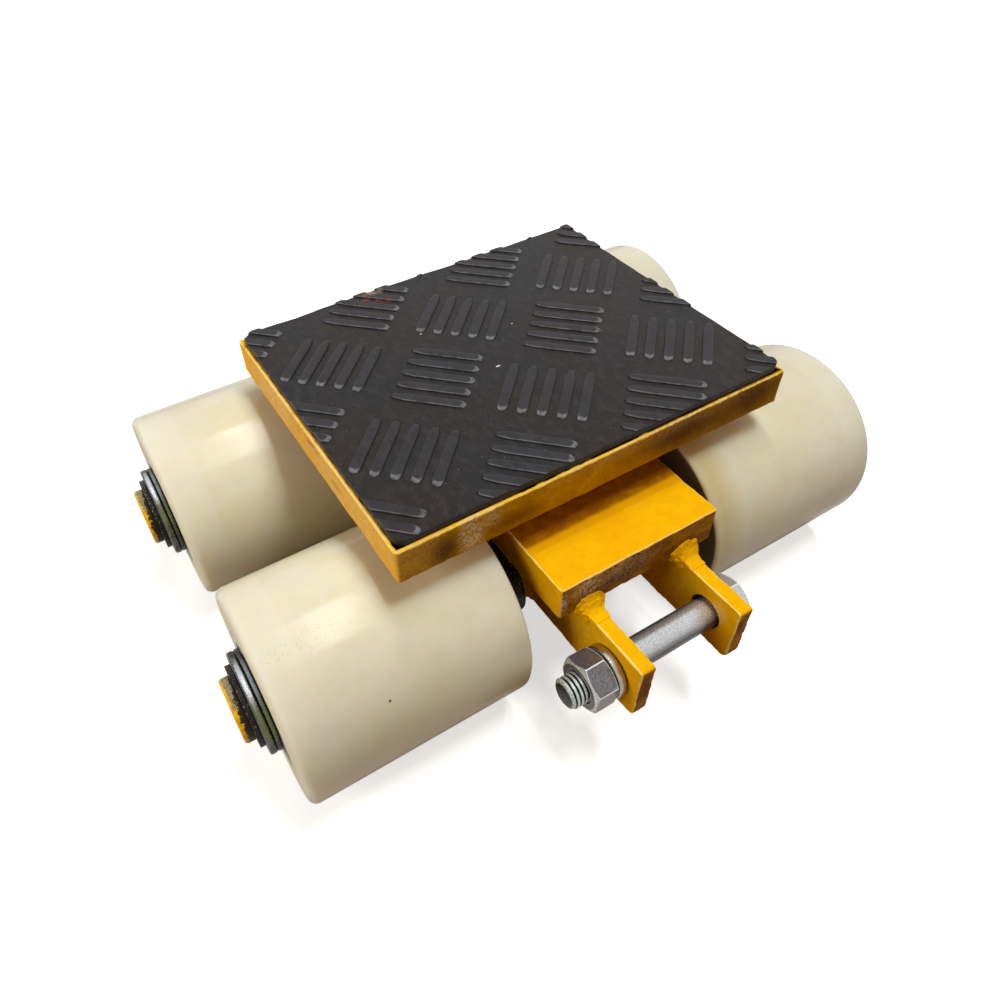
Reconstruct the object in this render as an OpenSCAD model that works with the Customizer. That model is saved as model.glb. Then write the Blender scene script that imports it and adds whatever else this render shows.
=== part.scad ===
// Four-roller machinery skate with a swivelling load plate and a tow clevis.
// X runs along the roller axles, -Y is the tow end, Z is up from the floor.
// The origin lies on the floor under the middle of the skate's overall length and width.

/* [Rollers] */
// Diameter of each nylon roller
roller_d = 85; // [70:1:95]
// Width of each roller along its axle
roller_w = 91; // [70:1:110]
// Free space between the front and rear rollers
roller_spacing = 27; // [10:1:60]
// Distance from the middle of the skate to the inner face of a roller
roller_in = 44.8; // [43:0.1:60]
// Rounding of the roller's outer edge
roller_round_out = 3.5; // [1:0.5:8]
// Rounding of the roller's inner edge
roller_round_in = 1.2; // [0.5:0.1:5]
// Depth of the shoulder that each bearing sits against
bearing_shoulder = 4; // [2:0.5:6]

/* [Axles and bearings] */
// Diameter of the round bar of both axles
axle_d = 25; // [18:0.5:26]
// Outer diameter of a roller bearing
bearing_d = 52; // [48:1:60]
// Width of a roller bearing
bearing_w = 15; // [12:0.5:20]
// Diameter of a roller bearing's balls
ball_d = 7.94; // [6:0.02:8.4]
// Diameter of both washers on an axle end
washer_d = 40; // [34:0.5:42]
// Thickness of the washer next to the roller
inner_washer_t = 2; // [1:0.1:3]
// Thickness of the outer washer
outer_washer_t = 3; // [1.5:0.1:4]
// Radial width of the circlip
circlip_w = 4.1; // [3:0.1:5]
// Thickness of the circlip
circlip_t = 2; // [1.2:0.1:2.5]
// Depth of the circlip groove in the axle
groove_depth = 0.6; // [0.4:0.05:1]
// Length of axle left outside the circlip
axle_tip = 4; // [2:0.1:10]
// Chamfer on the axle ends
axle_chamfer = 0.8; // [0.3:0.1:2]

/* [Frame] */
// Width of the beam
beam_w = 71.5; // [67:0.5:78]
// Thickness of the beam
beam_t = 16; // [12:0.5:20]
// Length of the beam in front of the front axle
beam_nose = 43; // [30:0.5:60]
// Length of the beam behind the rear axle
beam_tail = 22.5; // [16:0.5:35]
// Thickness of each side plate
side_t = 6.2; // [4:0.1:8]
// Height of each side plate
side_h = 28; // [26:0.1:40]
// Distance between the two side plates
side_gap = 38.6; // [36:0.2:44]
// How far the side plates hang below the axle's centre
side_drop = 5; // [3:0.1:8]
// Rounding of the ears' lower front corners
ear_round = 3.5; // [1:0.5:6]
// Leg of the weld round each axle
axle_weld = 4.6; // [2:0.1:6]
// Leg of the weld along each side plate
side_weld = 4; // [2:0.5:6]
// Size of the weld lump on each ear
ear_weld = 7.5; // [4:0.5:10]

/* [Tow clevis] */
// How far the ears stand out in front of the beam
ear_reach = 32.6; // [28:0.2:50]
// Distance from the ears' front edge to the bolt's centre
bolt_back = 14.6; // [11:0.1:17]
// Height of the bolt's centre above the ears' lower edge
bolt_up = 12.9; // [11:0.1:15]
// Diameter of the clevis bolt
bolt_d = 12; // [8:0.5:13]
// Diameter of the holes in the ears
ear_hole_d = 14; // [13.8:0.1:17]
// Size of the bolt head and nut across flats
hex_af = 19; // [17:0.5:20]
// Height of the bolt head
head_h = 7.5; // [5:0.1:9]
// Height of the nut
nut_h = 10; // [6:0.1:12]
// Length of thread outside the nut
bolt_tip = 8; // [2:0.5:16]
// Outer diameter of the spring washer
spring_washer_d = 20.4; // [18:0.2:24]
// Thickness of the spring washer
spring_washer_t = 2.5; // [1.5:0.1:4]

/* [Swivel] */
// Outer diameter of the thrust bearing
thrust_d = 65; // [62:0.5:69]
// Bore of the thrust bearing
thrust_bore = 45; // [42:0.5:46]
// Height of the thrust bearing
thrust_h = 14; // [13:0.5:16]
// Thickness of each thrust race
race_t = 4.2; // [3.6:0.1:4.6]
// Depth of the ball groove in a thrust race
race_groove = 0.7; // [0.4:0.1:1]
// Depth of the seat that the lower race lies in
race_seat = 0.5; // [0.5:0.1:2]
// Diameter of the king pin
pin_d = 20; // [14:0.5:24]
// Size of the king pin's nut across flats
pin_nut_af = 30; // [28:0.5:32]
// Height of the king pin's nut
pin_nut_h = 16; // [10:0.5:18]
// Thickness of the king pin's washer
pin_washer_t = 3; // [2:0.5:4]
// Diameter of the split pin
split_pin_d = 4; // [2.5:0.5:5]

/* [Load plate] */
// Width of the load plate
deck_w = 170; // [120:1:240]
// Length of the load plate
deck_l = 138; // [100:1:200]
// Thickness of the load plate
deck_t = 15; // [10:0.5:20]
// How far the load plate sits forward of the middle between the axles
deck_forward = 7; // [-10:0.5:12]
// Chamfer on the plate and beam edges
edge_chamfer = 0.8; // [0.3:0.1:1.5]

/* [Rubber mat] */
// Thickness of the mat under its tread
mat_t = 2.5; // [2:0.1:6]
// Margin of bare plate round the mat
mat_margin = 1.2; // [0:0.1:10]
// Rounding of the mat's corners
mat_round = 4; // [1:0.5:12]
// Height of the tread bars
bar_h = 1.1; // [0.5:0.1:2]
// Length of a tread bar
bar_l = 30; // [20:0.5:34]
// Width of a tread bar
bar_w = 4; // [2:0.2:5]
// Distance between the bars of one group
bar_step = 7.3; // [6:0.1:8]
// Distance between groups that lie the same way
tread_pitch = 60; // [54:0.5:80]
// Shift of the tread along the plate
tread_shift = -1.5; // [-15:0.5:15]

/* [Hidden] */
$fn = 48;
left = -1;
right = 1;
// Radial clearances
running_fit = 0.05;
seat_fit = 0.02;
// Gap between faces that turn past each other
face_gap = 0.3;
// How far a cutting shape runs past the faces it cuts
past = 1;
// Play of a ball in its cage pocket
pocket_play = 0.12;
// Steel left between two pockets of the thrust cage
pocket_web = 2.2;
// Steel left inside and outside the balls in a cage
cage_rim = 1;
// Distance between the balls of a roller bearing, in ball diameters
ball_pitch = 1.6;
// Height of a bearing ring's shoulders, from the balls' centre, in ball diameters
shoulder_reach = 0.34;
// Overlap that joins the tread to the mat
tread_root = 0.3;
// Bars in one tread group
group_bars = 5;
// Turned face of a nut or bolt head, as a share of its size across flats
hex_face = 0.95;
// Chamfer on a washer's edge, as a share of its thickness
washer_break = 0.25;
// Play of the circlip in its groove, on each side
groove_play = 0.1;
// Play of the bolt head and the spring washer beside the ears
bolt_play = 0.15;
// Room between the king pin's loose parts and the side plates
pin_room = 2;

axle_r = axle_d / 2;
axle_z = roller_d / 2;
roller_out = roller_in + roller_w;
wheelbase = roller_d + roller_spacing;
tow_end = wheelbase / 2 + beam_nose + ear_reach;
tail_end = wheelbase / 2 + roller_d / 2;
middle_y = (tow_end - tail_end) / 2;
front_y = middle_y - wheelbase / 2;
rear_y = middle_y + wheelbase / 2;
deck_y = middle_y - deck_forward;
beam_front = front_y - beam_nose;
beam_back = rear_y + beam_tail;
ear_front = beam_front - ear_reach;
side_bottom = axle_z - side_drop;
beam_bottom = side_bottom + side_h;
beam_top = beam_bottom + beam_t;
side_in = side_gap / 2;
side_out = side_in + side_t;

bolt_y = ear_front + bolt_back;
bolt_z = side_bottom + bolt_up;
bolt_r = bolt_d / 2;
bolt_sag = ear_hole_d / 2 - bolt_r - face_gap;
bolt_right = side_out + bolt_play;
bolt_left = bolt_right + spring_washer_t + nut_h + bolt_tip;

race_bottom = beam_top - race_seat;
deck_bottom = race_bottom + thrust_h;
deck_top = deck_bottom + deck_t;
thrust_ball_z = race_bottom + thrust_h / 2;
thrust_ball_r = thrust_h / 2 - race_t + race_groove;
thrust_pitch_r = (thrust_d + thrust_bore) / 4;
thrust_ball_count = floor(2 * PI * thrust_pitch_r / (2 * thrust_ball_r + pocket_web));
thrust_cage_t = (thrust_h - 2 * race_t) / 2;
thrust_cage_w = 2 * (thrust_ball_r + cage_rim);
pin_r = pin_d / 2;
pin_washer_top = beam_bottom - face_gap;
pin_washer_r = side_in - pin_room;
pin_nut_top = pin_washer_top - pin_washer_t;
pin_nut_bottom = pin_nut_top - pin_nut_h;
split_pin_head_d = 1.5 * split_pin_d;
split_pin_z = pin_nut_bottom - split_pin_head_d / 2 - face_gap;
split_pin_l = 2 * pin_washer_r - split_pin_head_d / 2;
pin_end = split_pin_z - split_pin_d;

ball_r = ball_d / 2;
pitch_r = (axle_d + bearing_d) / 4;
ball_count = floor(2 * PI * pitch_r / (ball_pitch * ball_d));
shoulder_in = pitch_r - shoulder_reach * ball_d;
shoulder_out = pitch_r + shoulder_reach * ball_d;
shield_t = 0.8;
shield_depth = 0.5;
cage_t = 2.2;
cage_w = 2 * (ball_r + cage_rim);
spacer_wall = 3;
collar_wall = 3.5;
seat_r = bearing_d / 2 + seat_fit;
inner_bearing_x = roller_in + bearing_w / 2;
outer_bearing_x = roller_out - bearing_w / 2;
outer_washer_x = roller_out + inner_washer_t;
circlip_x = outer_washer_x + outer_washer_t + groove_play;
axle_end = circlip_x + circlip_t + axle_tip;
groove_r = axle_r - groove_depth;

// Colours as photographed
module painted() { color([0.86, 0.64, 0.07]) children(); }
module nylon() { color([0.90, 0.87, 0.76]) children(); }
module rubber() { color([0.16, 0.15, 0.16]) children(); }
module zinc() { color([0.70, 0.72, 0.72]) children(); }
module bright_steel() { color([0.62, 0.62, 0.63]) children(); }
module dark_steel() { color([0.22, 0.21, 0.21]) children(); }

// A block with all its edges chamfered, centred in X and Y, standing on z = 0
module chamfered_block(w, l, h, c) {
  intersection() {
    linear_extrude(h) chamfered_square(w, l, c);
    translate([0, l / 2, h / 2]) rotate([90, 0, 0]) linear_extrude(l) chamfered_square(w, h, c);
    translate([-w / 2, 0, h / 2]) rotate([90, 0, 90]) linear_extrude(w) chamfered_square(l, h, c);
  }
}

module chamfered_square(w, h, c) {
  a = w / 2;
  b = h / 2;
  polygon([
    [-a + c, -b], [a - c, -b], [a, -b + c], [a, b - c],
    [a - c, b], [-a + c, b], [-a, b - c], [-a, -b + c]
  ]);
}

// A rectangle with round corners, centred
module rounded_square(w, l, r) {
  square([w - 2 * r, l], center = true);
  square([w, l - 2 * r], center = true);
  for (x = [-1, 1], y = [-1, 1])
    translate([x * (w / 2 - r), y * (l / 2 - r)]) circle(r);
}

// Turns a shape that stands along Z to lie along the axle, on the left or the right side
module on_axle(side, y) {
  translate([0, y, axle_z])
    if (side > 0)
      rotate([0, 90, 0]) children();
    else
      mirror([1, 0, 0]) rotate([0, 90, 0]) children();
}

module on_all_axle_ends() {
  for (side = [-1, 1], y = [front_y, rear_y])
    on_axle(side, y) children();
}

// The same shape at both bearings of one roller
module at_both_bearings() {
  for (x = [inner_bearing_x, outer_bearing_x])
    translate([0, 0, x]) children();
}

module tube(r_in, r_out, h) {
  difference() {
    cylinder(r = r_out, h = h);
    translate([0, 0, -past]) cylinder(r = r_in, h = h + 2 * past);
  }
}

module hexagon(af) { circle(d = af / cos(30), $fn = 6); }

// A hexagon with its corners turned off at 30 degrees on the faces asked for
module turned_hex(af, h, top = true, bottom = false) {
  r = hex_face * af / 2;
  corner = af / cos(30) / 2 - r;
  drop = corner * tan(30);
  intersection() {
    linear_extrude(h) hexagon(af);
    union() {
      translate([0, 0, bottom ? drop : 0])
        cylinder(r = r + corner, h = h - (top ? drop : 0) - (bottom ? drop : 0));
      if (top) translate([0, 0, h - drop]) cylinder(r1 = r + corner, r2 = r, h = drop);
      if (bottom) cylinder(r1 = r, r2 = r + corner, h = drop);
    }
  }
}

// Load plate and mat

module load_plate() {
  painted() difference() {
    translate([0, deck_y, deck_bottom]) chamfered_block(deck_w, deck_l, deck_t, edge_chamfer);
    translate([0, deck_y, deck_bottom - past])
      cylinder(r = pin_r + seat_fit, h = deck_t + 2 * past);
  }
}

module tread_bar() {
  straight = bar_l - bar_w;
  square([straight, bar_w], center = true);
  for (x = [-1, 1]) translate([x * straight / 2, 0]) circle(d = bar_w);
}

module tread_group(angle) {
  rotate(angle)
    for (i = [0:group_bars - 1])
      translate([0, (i - (group_bars - 1) / 2) * bar_step]) tread_bar();
}

module tread() {
  columns = ceil(deck_w / tread_pitch / 2) + 1;
  rows = ceil(deck_l / tread_pitch / 2) + 1;
  for (i = [-columns:columns], j = [-rows:rows]) {
    translate([i * tread_pitch, (j + 0.5) * tread_pitch + tread_shift]) tread_group(45);
    translate([(i + 0.5) * tread_pitch, j * tread_pitch + tread_shift]) tread_group(-45);
  }
}

module mat_outline() {
  rounded_square(deck_w - 2 * mat_margin, deck_l - 2 * mat_margin, mat_round);
}

module rubber_mat() {
  rubber() translate([0, deck_y, deck_top]) {
    linear_extrude(mat_t) mat_outline();
    translate([0, 0, mat_t - tread_root])
      linear_extrude(bar_h + tread_root) intersection() {
        mat_outline();
        tread();
      }
  }
}

// Frame

module beam() {
  length = beam_back - beam_front;
  painted() difference() {
    translate([0, (beam_front + beam_back) / 2, beam_bottom])
      chamfered_block(beam_w, length, beam_t, edge_chamfer);
    translate([0, deck_y, beam_bottom - past])
      cylinder(r = pin_r + running_fit, h = beam_t + 2 * past);
    translate([0, deck_y, race_bottom])
      cylinder(r = thrust_d / 2 + seat_fit, h = race_seat + past);
  }
}

// Side view of a side plate, with its front ear, drawn with Y to the right and Z up
module side_outline() {
  length = beam_back - ear_front;
  difference() {
    union() {
      translate([ear_round, 0]) square([length - ear_round, side_h]);
      translate([0, ear_round]) square([length, side_h - 2 * ear_round]);
      for (z = [ear_round, side_h - ear_round])
        translate([ear_round, z]) circle(ear_round);
    }
    translate([bolt_back, bolt_up + bolt_sag]) circle(d = ear_hole_d);
    for (y = [front_y, rear_y])
      translate([y - ear_front, side_drop]) circle(axle_r + seat_fit);
  }
}

module side_plate(side) {
  painted()
    translate([side > 0 ? side_in : -side_out, ear_front, side_bottom])
      rotate([90, 0, 90]) linear_extrude(side_t) side_outline();
}

module axle(y) {
  painted() translate([0, y, axle_z]) rotate([0, 90, 0]) difference() {
    union() {
      cylinder(r = axle_r, h = 2 * (axle_end - axle_chamfer), center = true);
      for (end = [0, 1])
        mirror([0, 0, end]) translate([0, 0, axle_end - axle_chamfer])
          cylinder(r1 = axle_r, r2 = axle_r - axle_chamfer, h = axle_chamfer);
    }
    for (end = [0, 1])
      mirror([0, 0, end]) translate([0, 0, circlip_x - groove_play])
        tube(groove_r, axle_r + past, circlip_t + 2 * groove_play);
  }
}

// Hollow fillet of weld round the axle, ended just below the side plate's lower edge
module axle_welds() {
  below = 1.5;
  hollow = 1.5;
  hollow_r = sqrt(pow(axle_weld + hollow, 2) + pow(hollow, 2));
  root = axle_r + seat_fit;
  painted() on_all_axle_ends() intersection() {
    translate([0, 0, side_out]) rotate_extrude() difference() {
      translate([root, 0]) square(axle_weld);
      translate([root + axle_weld + hollow, axle_weld + hollow]) circle(hollow_r);
    }
    translate([-axle_d, -axle_d, 0]) cube([axle_d + side_drop + below, 2 * axle_d, roller_in]);
  }
}

// Straight fillets in the corner between each side plate and the beam
module side_plate_welds() {
  stop_back = 3;
  length = beam_back - beam_front - 2 * stop_back;
  painted() for (side = [0, 1])
    mirror([side, 0, 0]) translate([side_out, beam_back - stop_back, beam_bottom])
      rotate([90, 0, 0]) linear_extrude(length)
        polygon([[0, 0], [side_weld, 0], [0, -side_weld]]);
}

// A rounded lump in the corner between the beam's front face and the top edge of each ear
module ear_welds() {
  spread = 1;
  painted() for (side = [0, 1])
    mirror([side, 0, 0]) translate([side_in - spread, beam_front, beam_bottom])
      rotate([90, 0, 90]) linear_extrude(side_t + 2 * spread) intersection() {
        circle(ear_weld);
        translate([-ear_weld, 0]) square(ear_weld);
      }
}

// Swivel

module thrust_race(groove_z) {
  r_in = thrust_bore / 2;
  rotate_extrude() difference() {
    translate([r_in, 0]) square([thrust_d / 2 - r_in, race_t]);
    translate([thrust_pitch_r, groove_z]) circle(thrust_ball_r + running_fit);
  }
}

module lower_thrust_race() {
  bright_steel() translate([0, deck_y, race_bottom]) thrust_race(thrust_h / 2);
}

module upper_thrust_race() {
  bright_steel() translate([0, deck_y, deck_bottom - race_t]) thrust_race(race_t - thrust_h / 2);
}

module thrust_balls() {
  bright_steel() translate([0, deck_y, thrust_ball_z])
    for (i = [0:thrust_ball_count - 1])
      rotate(i * 360 / thrust_ball_count) translate([thrust_pitch_r, 0, 0]) sphere(thrust_ball_r);
}

module thrust_ball_cage() {
  bright_steel() translate([0, deck_y, thrust_ball_z]) difference() {
    translate([0, 0, -thrust_cage_t / 2])
      tube(thrust_pitch_r - thrust_cage_w / 2, thrust_pitch_r + thrust_cage_w / 2, thrust_cage_t);
    for (i = [0:thrust_ball_count - 1])
      rotate(i * 360 / thrust_ball_count) translate([thrust_pitch_r, 0, 0])
        cylinder(r = thrust_ball_r + pocket_play, h = 2 * thrust_cage_t, center = true);
  }
}

// Stepped pin: flush in the load plate, a spigot in the upper race, then the shank
module king_pin() {
  spigot_r = thrust_bore / 2 - running_fit;
  bright_steel() translate([0, deck_y, 0]) difference() {
    union() {
      translate([0, 0, pin_end]) cylinder(r = pin_r, h = deck_top - pin_end);
      translate([0, 0, deck_bottom - race_t]) cylinder(r = spigot_r, h = race_t);
    }
    translate([0, 0, split_pin_z]) rotate([90, 0, 0])
      cylinder(d = split_pin_d + 2 * seat_fit, h = 2 * pin_d, center = true);
  }
}

module king_pin_washer() {
  zinc() translate([0, deck_y, pin_washer_top - pin_washer_t])
    tube(pin_r + seat_fit, pin_washer_r, pin_washer_t);
}

module king_pin_nut() {
  zinc() translate([0, deck_y, pin_nut_bottom]) difference() {
    turned_hex(pin_nut_af, pin_nut_h, true, true);
    translate([0, 0, -past]) cylinder(r = pin_r + seat_fit, h = pin_nut_h + 2 * past);
  }
}

module king_pin_split_pin() {
  zinc() translate([0, deck_y, split_pin_z]) rotate([90, 0, 0]) {
    cylinder(d = split_pin_d, h = split_pin_l, center = true);
    translate([0, 0, split_pin_l / 2]) sphere(d = split_pin_head_d);
  }
}

// Roller parts, each drawn along Z with z measured out from the middle of the skate

module roller_section() {
  r = roller_d / 2;
  half = roller_w / 2;
  difference() {
    union() {
      translate([0, roller_round_in]) square([r, roller_w - roller_round_in - roller_round_out]);
      square([r - roller_round_in, half]);
      translate([0, half]) square([r - roller_round_out, half]);
      translate([r - roller_round_in, roller_round_in]) circle(roller_round_in);
      translate([r - roller_round_out, roller_w - roller_round_out]) circle(roller_round_out);
    }
    translate([0, -past]) square([seat_r - bearing_shoulder, roller_w + 2 * past]);
    translate([0, -past]) square([seat_r, bearing_w + past]);
    translate([0, roller_w - bearing_w]) square([seat_r, bearing_w + past]);
  }
}

module roller(side, y) {
  nylon() on_axle(side, y) translate([0, 0, roller_in]) rotate_extrude() roller_section();
}

module ring_section(r_in, r_out) {
  difference() {
    translate([r_in, -bearing_w / 2]) square([r_out - r_in, bearing_w]);
    translate([pitch_r, 0]) circle(ball_r + running_fit);
  }
}

module bearing_outer_rings(side, y) {
  bright_steel() on_axle(side, y) at_both_bearings()
    rotate_extrude() ring_section(shoulder_out, bearing_d / 2);
}

module bearing_inner_rings() {
  bright_steel() on_all_axle_ends() at_both_bearings()
    rotate_extrude() ring_section(axle_r + seat_fit, shoulder_in);
}

module bearing_shields(side, y) {
  zinc() on_axle(side, y) at_both_bearings()
    for (face = [0, 1])
      mirror([0, 0, face]) translate([0, 0, bearing_w / 2 - shield_depth - shield_t])
        tube(shoulder_in + face_gap, shoulder_out - seat_fit, shield_t);
}

module bearing_balls(side, y) {
  bright_steel() on_axle(side, y) at_both_bearings()
    for (i = [0:ball_count - 1])
      rotate(i * 360 / ball_count) translate([pitch_r, 0, 0]) sphere(ball_r);
}

module ball_cages(side, y) {
  bright_steel() on_axle(side, y) at_both_bearings() difference() {
    translate([0, 0, -cage_w / 2]) tube(pitch_r - cage_t / 2, pitch_r + cage_t / 2, cage_w);
    for (i = [0:ball_count - 1])
      rotate(i * 360 / ball_count) translate([pitch_r, 0, 0]) rotate([0, 90, 0])
        cylinder(r = ball_r + pocket_play, h = 2 * cage_t, center = true);
  }
}

// Pieces that stay still on the axles

module bearing_spacer_tubes() {
  bright_steel() on_all_axle_ends() translate([0, 0, roller_in + bearing_w])
    tube(axle_r + running_fit, axle_r + spacer_wall, roller_w - 2 * bearing_w);
}

module axle_collars() {
  start = side_out + axle_weld;
  bright_steel() on_all_axle_ends() translate([0, 0, start])
    tube(axle_r + running_fit, axle_r + collar_wall, roller_in - start);
}

// A washer on the axle, with its outer edges broken
module axle_washer(t) {
  r_out = washer_d / 2;
  c = washer_break * t;
  difference() {
    union() {
      cylinder(r1 = r_out - c, r2 = r_out, h = c);
      translate([0, 0, c]) cylinder(r = r_out, h = t - 2 * c);
      translate([0, 0, t - c]) cylinder(r1 = r_out, r2 = r_out - c, h = c);
    }
    translate([0, 0, -past]) cylinder(r = axle_r + running_fit, h = t + 2 * past);
  }
}

module inner_washers() {
  zinc() on_all_axle_ends() translate([0, 0, roller_out]) axle_washer(inner_washer_t);
}

module outer_washers() {
  zinc() on_all_axle_ends() translate([0, 0, outer_washer_x]) axle_washer(outer_washer_t);
}

// Open ring with two drilled lugs at its gap, which faces down
module circlip_outline() {
  r_out = groove_r + circlip_w;
  gap = 5;
  lug_r = 2.6;
  lug_hole_r = 1;
  lug_x = r_out - 0.8 * lug_r;
  lug_y = gap / 2 + lug_r;
  difference() {
    union() {
      circle(r_out);
      for (y = [-1, 1]) translate([lug_x, y * lug_y]) circle(lug_r);
    }
    circle(groove_r + seat_fit);
    translate([0, -gap / 2]) square([2 * r_out, gap]);
    for (y = [-1, 1]) translate([lug_x, y * lug_y]) circle(lug_hole_r);
  }
}

module axle_circlips() {
  dark_steel() on_all_axle_ends() translate([0, 0, circlip_x])
    linear_extrude(circlip_t) circlip_outline();
}

// Tow clevis, drawn along Z and laid along X with the head on the right

module on_bolt() {
  translate([0, bolt_y, bolt_z]) rotate([0, 90, 0]) children();
}

module clevis_bolt() {
  tip_chamfer = 1.2;
  zinc() on_bolt() {
    translate([0, 0, bolt_right]) turned_hex(hex_af, head_h);
    translate([0, 0, tip_chamfer - bolt_left])
      cylinder(r = bolt_r, h = bolt_left + bolt_right - tip_chamfer);
    translate([0, 0, -bolt_left])
      cylinder(r1 = bolt_r - tip_chamfer, r2 = bolt_r, h = tip_chamfer);
  }
}

module clevis_nut() {
  zinc() on_bolt() translate([0, 0, bolt_tip - bolt_left]) difference() {
    turned_hex(hex_af, nut_h, true, true);
    translate([0, 0, -past]) cylinder(r = bolt_r + seat_fit, h = nut_h + 2 * past);
  }
}

module clevis_spring_washer() {
  split_w = 1.6;
  split_angle = 20;
  zinc() on_bolt() translate([0, 0, -bolt_right - spring_washer_t]) difference() {
    tube(bolt_r + seat_fit, spring_washer_d / 2, spring_washer_t);
    translate([0, spring_washer_d / 2, spring_washer_t / 2]) rotate([0, split_angle, 0])
      cube([split_w, spring_washer_d, 3 * spring_washer_t], center = true);
  }
}

load_plate();
rubber_mat();
beam();
side_plate(left);  // left_side_plate
side_plate(right);  // right_side_plate
axle(front_y);  // front_axle
axle(rear_y);  // rear_axle
axle_welds();
side_plate_welds();
ear_welds();
lower_thrust_race();
upper_thrust_race();
thrust_balls();
thrust_ball_cage();
king_pin();
king_pin_washer();
king_pin_nut();
king_pin_split_pin();
roller(left, front_y);  // front_left_roller
roller(right, front_y);  // front_right_roller
roller(left, rear_y);  // rear_left_roller
roller(right, rear_y);  // rear_right_roller
bearing_outer_rings(left, front_y);  // front_left_bearing_outer_rings
bearing_outer_rings(right, front_y);  // front_right_bearing_outer_rings
bearing_outer_rings(left, rear_y);  // rear_left_bearing_outer_rings
bearing_outer_rings(right, rear_y);  // rear_right_bearing_outer_rings
bearing_shields(left, front_y);  // front_left_bearing_shields
bearing_shields(right, front_y);  // front_right_bearing_shields
bearing_shields(left, rear_y);  // rear_left_bearing_shields
bearing_shields(right, rear_y);  // rear_right_bearing_shields
bearing_balls(left, front_y);  // front_left_bearing_balls
bearing_balls(right, front_y);  // front_right_bearing_balls
bearing_balls(left, rear_y);  // rear_left_bearing_balls
bearing_balls(right, rear_y);  // rear_right_bearing_balls
ball_cages(left, front_y);  // front_left_ball_cages
ball_cages(right, front_y);  // front_right_ball_cages
ball_cages(left, rear_y);  // rear_left_ball_cages
ball_cages(right, rear_y);  // rear_right_ball_cages
bearing_inner_rings();
bearing_spacer_tubes();
axle_collars();
inner_washers();
outer_washers();
axle_circlips();
clevis_bolt();
clevis_nut();
clevis_spring_washer();
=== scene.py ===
import math
from functools import reduce

import bmesh
import bpy
import numpy as np
from mathutils import Matrix, Vector, noise
from mathutils.geometry import tessellate_polygon


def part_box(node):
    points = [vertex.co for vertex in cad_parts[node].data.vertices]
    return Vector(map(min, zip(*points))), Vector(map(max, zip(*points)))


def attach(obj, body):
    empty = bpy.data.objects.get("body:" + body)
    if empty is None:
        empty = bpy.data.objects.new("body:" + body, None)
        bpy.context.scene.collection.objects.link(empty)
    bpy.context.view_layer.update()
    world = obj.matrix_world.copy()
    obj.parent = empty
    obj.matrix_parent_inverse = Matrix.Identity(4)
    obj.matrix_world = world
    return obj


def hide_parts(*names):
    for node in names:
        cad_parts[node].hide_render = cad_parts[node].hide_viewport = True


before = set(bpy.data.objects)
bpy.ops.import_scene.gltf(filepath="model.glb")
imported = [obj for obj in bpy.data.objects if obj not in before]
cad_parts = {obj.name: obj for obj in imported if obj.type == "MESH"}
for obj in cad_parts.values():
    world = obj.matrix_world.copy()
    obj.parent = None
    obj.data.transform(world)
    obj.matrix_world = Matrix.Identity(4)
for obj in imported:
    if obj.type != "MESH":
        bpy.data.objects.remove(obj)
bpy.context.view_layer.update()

MM = 0.001
CORNERS = ("front_left", "front_right", "rear_left", "rear_right")
TREAD_H = 1.1  # height of the bars on the mat
CLIP_T = 2.0  # thickness of a circlip
BEARING_W = 15.0  # width of a roller's bearing
SIDE_FACE = 25.5  # from the middle to a side plate's outer face
PIN_R = 10.0  # radius of the king pin
HEX_AF = 19.0  # clevis bolt's head and nut across flats
THREAD_END = -14.8  # where the clevis bolt's thread runs out


def box_mm(node):
    low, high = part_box(node)
    return np.array(low) / MM, np.array(high) / MM


def middle_mm(node):
    low, high = box_mm(node)
    return (low + high) / 2


front_axle_at = middle_mm("front_axle")
rear_axle_at = middle_mm("rear_axle")
axle_r = (box_mm("front_axle")[1][2] - box_mm("front_axle")[0][2]) / 2
pin_at = middle_mm("king_pin")
bolt_at = middle_mm("clevis_nut")


def wobble(point, size, seed=0.0):
    """Smooth noise from -1 to 1 at a point in mm, with lumps of about the given size."""
    return noise.noise(Vector(point) / size + Vector((seed, seed * 0.7, -seed)))


# Outlines: lists of flat points in mm

def eased(corners, radii, steps=5):
    """A closed outline with each corner rounded to its own radius."""
    outline = []
    count = len(corners)
    for i, radius in enumerate(radii):
        corner = np.array(corners[i], float)
        if radius <= 0:
            outline.append(corner)
            continue
        before = np.array(corners[i - 1], float) - corner
        after = np.array(corners[(i + 1) % count], float) - corner
        before /= np.linalg.norm(before)
        after /= np.linalg.norm(after)
        half = math.acos(max(-1, min(1, float(before @ after)))) / 2
        middle = (before + after) / np.linalg.norm(before + after)
        centre = corner + middle * radius / math.sin(half)
        start = corner + before * radius / math.tan(half) - centre
        end = corner + after * radius / math.tan(half) - centre
        turn = math.atan2(start[0] * end[1] - start[1] * end[0], float(start @ end))
        for k in range(steps + 1):
            c, s = math.cos(turn * k / steps), math.sin(turn * k / steps)
            outline.append(centre + np.array((c * start[0] - s * start[1], s * start[0] + c * start[1])))
    return outline


def rectangle(low, high):
    return [(low[0], low[1]), (high[0], low[1]), (high[0], high[1]), (low[0], high[1])]


def ring_section(start, end, inner, outer, radii, steps):
    """Section of a ring as (distance along its axis, radius), from its bore outwards and back."""
    return eased([(start, inner), (start, outer), (end, outer), (end, inner)], radii, steps)


def arc(centre, radius, start, end, count):
    angles = np.linspace(start, end, count)
    return [np.array(centre) + radius * np.array((math.cos(a), math.sin(a))) for a in angles]


def parted(outline, step):
    """A closed outline with points at most a step apart."""
    points = []
    for a, b in zip(outline, outline[1:] + outline[:1]):
        pieces = max(1, math.ceil(np.linalg.norm(b - a) / step))
        points.extend(a + (b - a) * k / pieces for k in range(pieces))
    return points


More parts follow.
